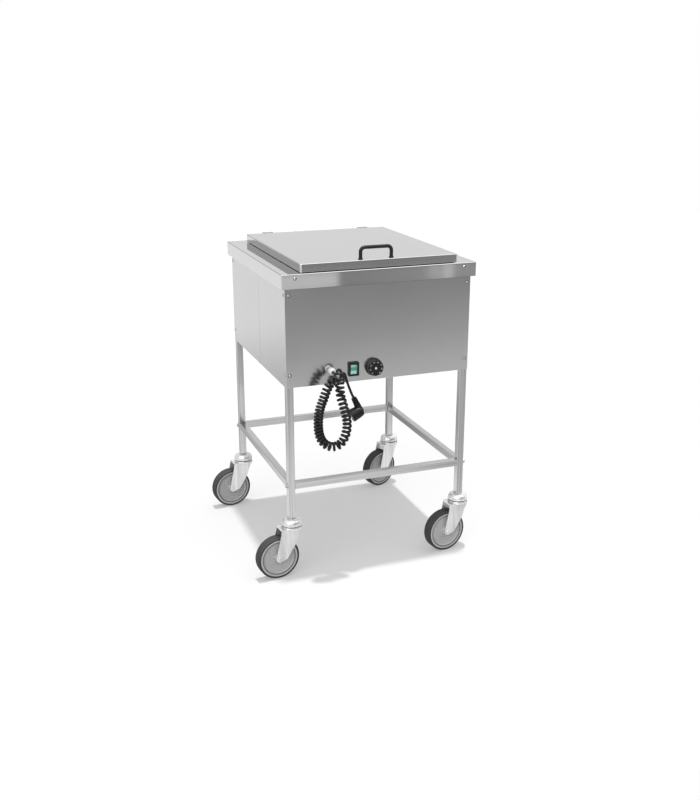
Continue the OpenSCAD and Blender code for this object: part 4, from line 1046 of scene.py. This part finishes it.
# casters
casterSet = {
    "legs": ((-263, -273), (263, -273), (-263, 273), (263, 273)), "turns": (6, 8, 6, 20),     # as in corners
    "trail": 46, "axleHeight": 62.5,
    "cap": 29.5, "capLow": 153.6, "capWall": 5, "capTop": 174, "topWide": 19, "topFlat": 16.6,
    "capGap": 3.0, "capInset": 6, "capFold": 0.7,
    "king": 6, "kingHead": 11, "kingLow": 140.4, "kingHeadHigh": 144.4,
    "stem": 16.6, "stemTop": 212,
    # forkDark, forkRoof and forkIn: where the fork's inside takes painted shade
    "forkEdge": 0.8, "forkDark": 100, "forkRoof": 118, "forkIn": 4,     # dark inside: above, its roof, off the middle
    "axle": 4, "axleHalf": 21.1, "axleHead": 6, "axleHeadThick": 1.3,
    "bore": 4.05, "hub": 13, "hubHalf": 18, "web": 10, "rings": (19, 26, 33, 39), "rimHalf": 14.5, "disc": 57,
    # the rim's two rings: a painted highlight on its face, painted shade in the groove inside it
    "rim": (44.5, 47, 50.5, 51, 53.4, 55.4, 55.9), "paintedHighlightRing": (53.4, 55.7), "paintedShadeRing": (48.6, 51),
    "tyre": 62.5, "tyreHalf": 16, "shoulder": 4.2, "tread": 5.5, "treadDepth": 0.9,
}


def swivelCap(corner, at, spec):
    low, top, gap, inset = spec["capLow"], spec["capTop"], spec["capGap"], spec["cap"] - spec["capInset"]
    wide, fold, wall = spec["cap"], spec["cap"] - spec["capFold"], low + spec["capWall"]
    profile = [(0, low), (inset, low), (inset, low + gap)]
    profile += eased([(wide - 2.2, low + gap), (wide, low + gap, 0.8), (wide, wall - 0.4, 0.4), (fold, wall, 0.3)], 4)
    profile += quarter(spec["topWide"], fold, wall, top, 10) + [(spec["topFlat"], top), (0, top)]
    dome = turned(profile, 64)
    # the gap under the cap takes painted shade
    for face in dome.faces:      # the gap under the cap is dark
        face.material_index = int(face.calc_center_median().z < low + gap + 0.01)
    foot, head, high, shaft = spec["kingLow"], spec["kingHead"], spec["kingHeadHigh"], spec["king"]
    king = turned(eased([(0, foot), (head, foot, 1.2), (head, high, 0.8), (shaft, high), (shaft, low + 1),
                         (0, low + 1)], 3), 40)
    stem, tall = spec["stem"], spec["stemTop"]
    post = bar((stem, stem, tall - top + 1), (0, 0, (tall + top - 1) / 2), 1.0)
    makePiece("swivel_cap_" + corner, [(dome, [at]), (king, [at]), (post, [at])], ["cap_" + corner],
              more=[fixingShade])


def wheelDisc(spec):
    web, hub, half, rim = spec["web"], spec["hub"], spec["hubHalf"], spec["rimHalf"]
    side = [(spec["bore"], half), (hub - 1, half, 0.8), (hub, half - 1.2, 0.8), (hub + 1.5, web + 0.2, 1.6)]
    for reach in spec["rings"]:
        side += [(reach, web, 0.3), (reach + 0.5, web + 0.7, 0.3), (reach + 1.9, web + 0.7, 0.3),
                 (reach + 2.4, web, 0.3)]
    foot, slope, ledge, inner, low, high, outer = spec["rim"]
    side += [(foot, web, 1.5), (slope, rim - 1.2, 1.2), (ledge, rim - 0.6, 0.4), (inner, rim + 0.3, 0.3),
             (low, rim + 0.3), (high, rim + 0.3, 0.3), (outer, rim - 0.5, 0.1), (spec["disc"], rim - 0.5)]
    disc = hoop(mirrored(side), 3, 96)
    (highlightIn, highlightOut), (shadeIn, shadeOut) = spec["paintedHighlightRing"], spec["paintedShadeRing"]
    # the pale ring on the rim's face is a painted highlight; the groove inside it and the edge by the tyre take
    # painted shade
    for face in disc.faces:
        reach = sum(v.co.xy.length for v in face.verts) / len(face.verts)
        dark = shadeIn < reach < shadeOut or reach >= highlightOut
        face.material_index = 1 if highlightIn < reach < highlightOut else 2 if dark else 0
    return disc


def tyreRing(spec):
    out, half, disc = spec["tyre"], spec["tyreHalf"], spec["disc"]
    middle, foot = spec["tread"], out - spec["treadDepth"]
    side = [(disc, half - 0.6), (disc + 0.6, half, 0.4), (out, half, spec["shoulder"]), (out, middle + 1.0, 0.3),
            (foot, middle + 0.6, 0.3), (foot, middle - 0.6, 0.3), (out, middle - 1.0, 0.3)]
    return hoop(mirrored(side), 5, 96)


def caster(corner, leg, degrees, spec):
    at = move((*leg, 0))
    turn = at @ Matrix.Rotation(math.radians(degrees), 4, "Z")
    across = turn @ lay((-spec["trail"], 0, spec["axleHeight"]), (0, 1, 0))
    makePiece("wheel_disc_" + corner, [(wheelDisc(spec), [across])], ["wheel_" + corner], smooth=30,
              more=ringHighlightAndShade)
    makePiece("tyre_ring_" + corner, [(tyreRing(spec), [across])], ["tyre_" + corner])
    half, head, end = spec["axleHalf"], spec["axleHead"], spec["axleHalf"] + spec["axleHeadThick"]
    rod = turned(eased([(0, -end), (head - 1, -end, 0.8), (head, -half, 0.3), (spec["axle"], -half),
                        (spec["axle"], half), (head, half, 0.3), (head - 1, end, 0.8), (0, end)], 3), 40)
    makePiece("axle_rod_" + corner, [(rod, [across])], ["axle_" + corner], finish=finishes["zinc"])
    fork = softened("fork_" + corner + "_pressing", "fork_" + corner, spec["forkEdge"],
                    lambda bm: outerEdges(bm, 45, 1.5), 3)
    fork.data.materials.append(fixingShade)
    # the fork's inside above the wheel takes painted shade
    for face in fork.data.polygons:      # the inside above the wheel lies in the dark
        place, facing = turn.inverted() @ (face.center * 1000), turn.to_3x3().inverted() @ face.normal
        inward = facing.y * place.y < -spec["forkIn"] or (facing.z < -0.5 and place.z > spec["forkRoof"])
        face.material_index = int(inward and place.z > spec["forkDark"])
    swivelCap(corner, at, spec)


for corner, leg, degrees in zip(corners, casterSet["legs"], casterSet["turns"]):
    caster(corner, leg, degrees, casterSet)
print("casters made")

# hidden pieces: the CAD's shapes with smooth shading, the last two with softened edges
for node in ("heating_element", "thermostat_sensor", "thermostat_spindle", "wiring_loom", "element_clamps",
             "handle_screws", "insulation"):
    makePiece(node + "_inside", merged(node), [node], weighted=False)
for node in ("thermostat_body", "terminal_block"):
    softened(node + "_inside", node, 0.5, smallEdges, 2)
print("hidden pieces made")

# finishes for the CAD's own meshes, of which the bottom plate is shown
for name, obj in nodes.items():
    obj.data.materials.clear()
    obj.data.materials.append(finishes[slotOf(name)])

powerLead.data.materials.append(finishes["cord_rubber"])
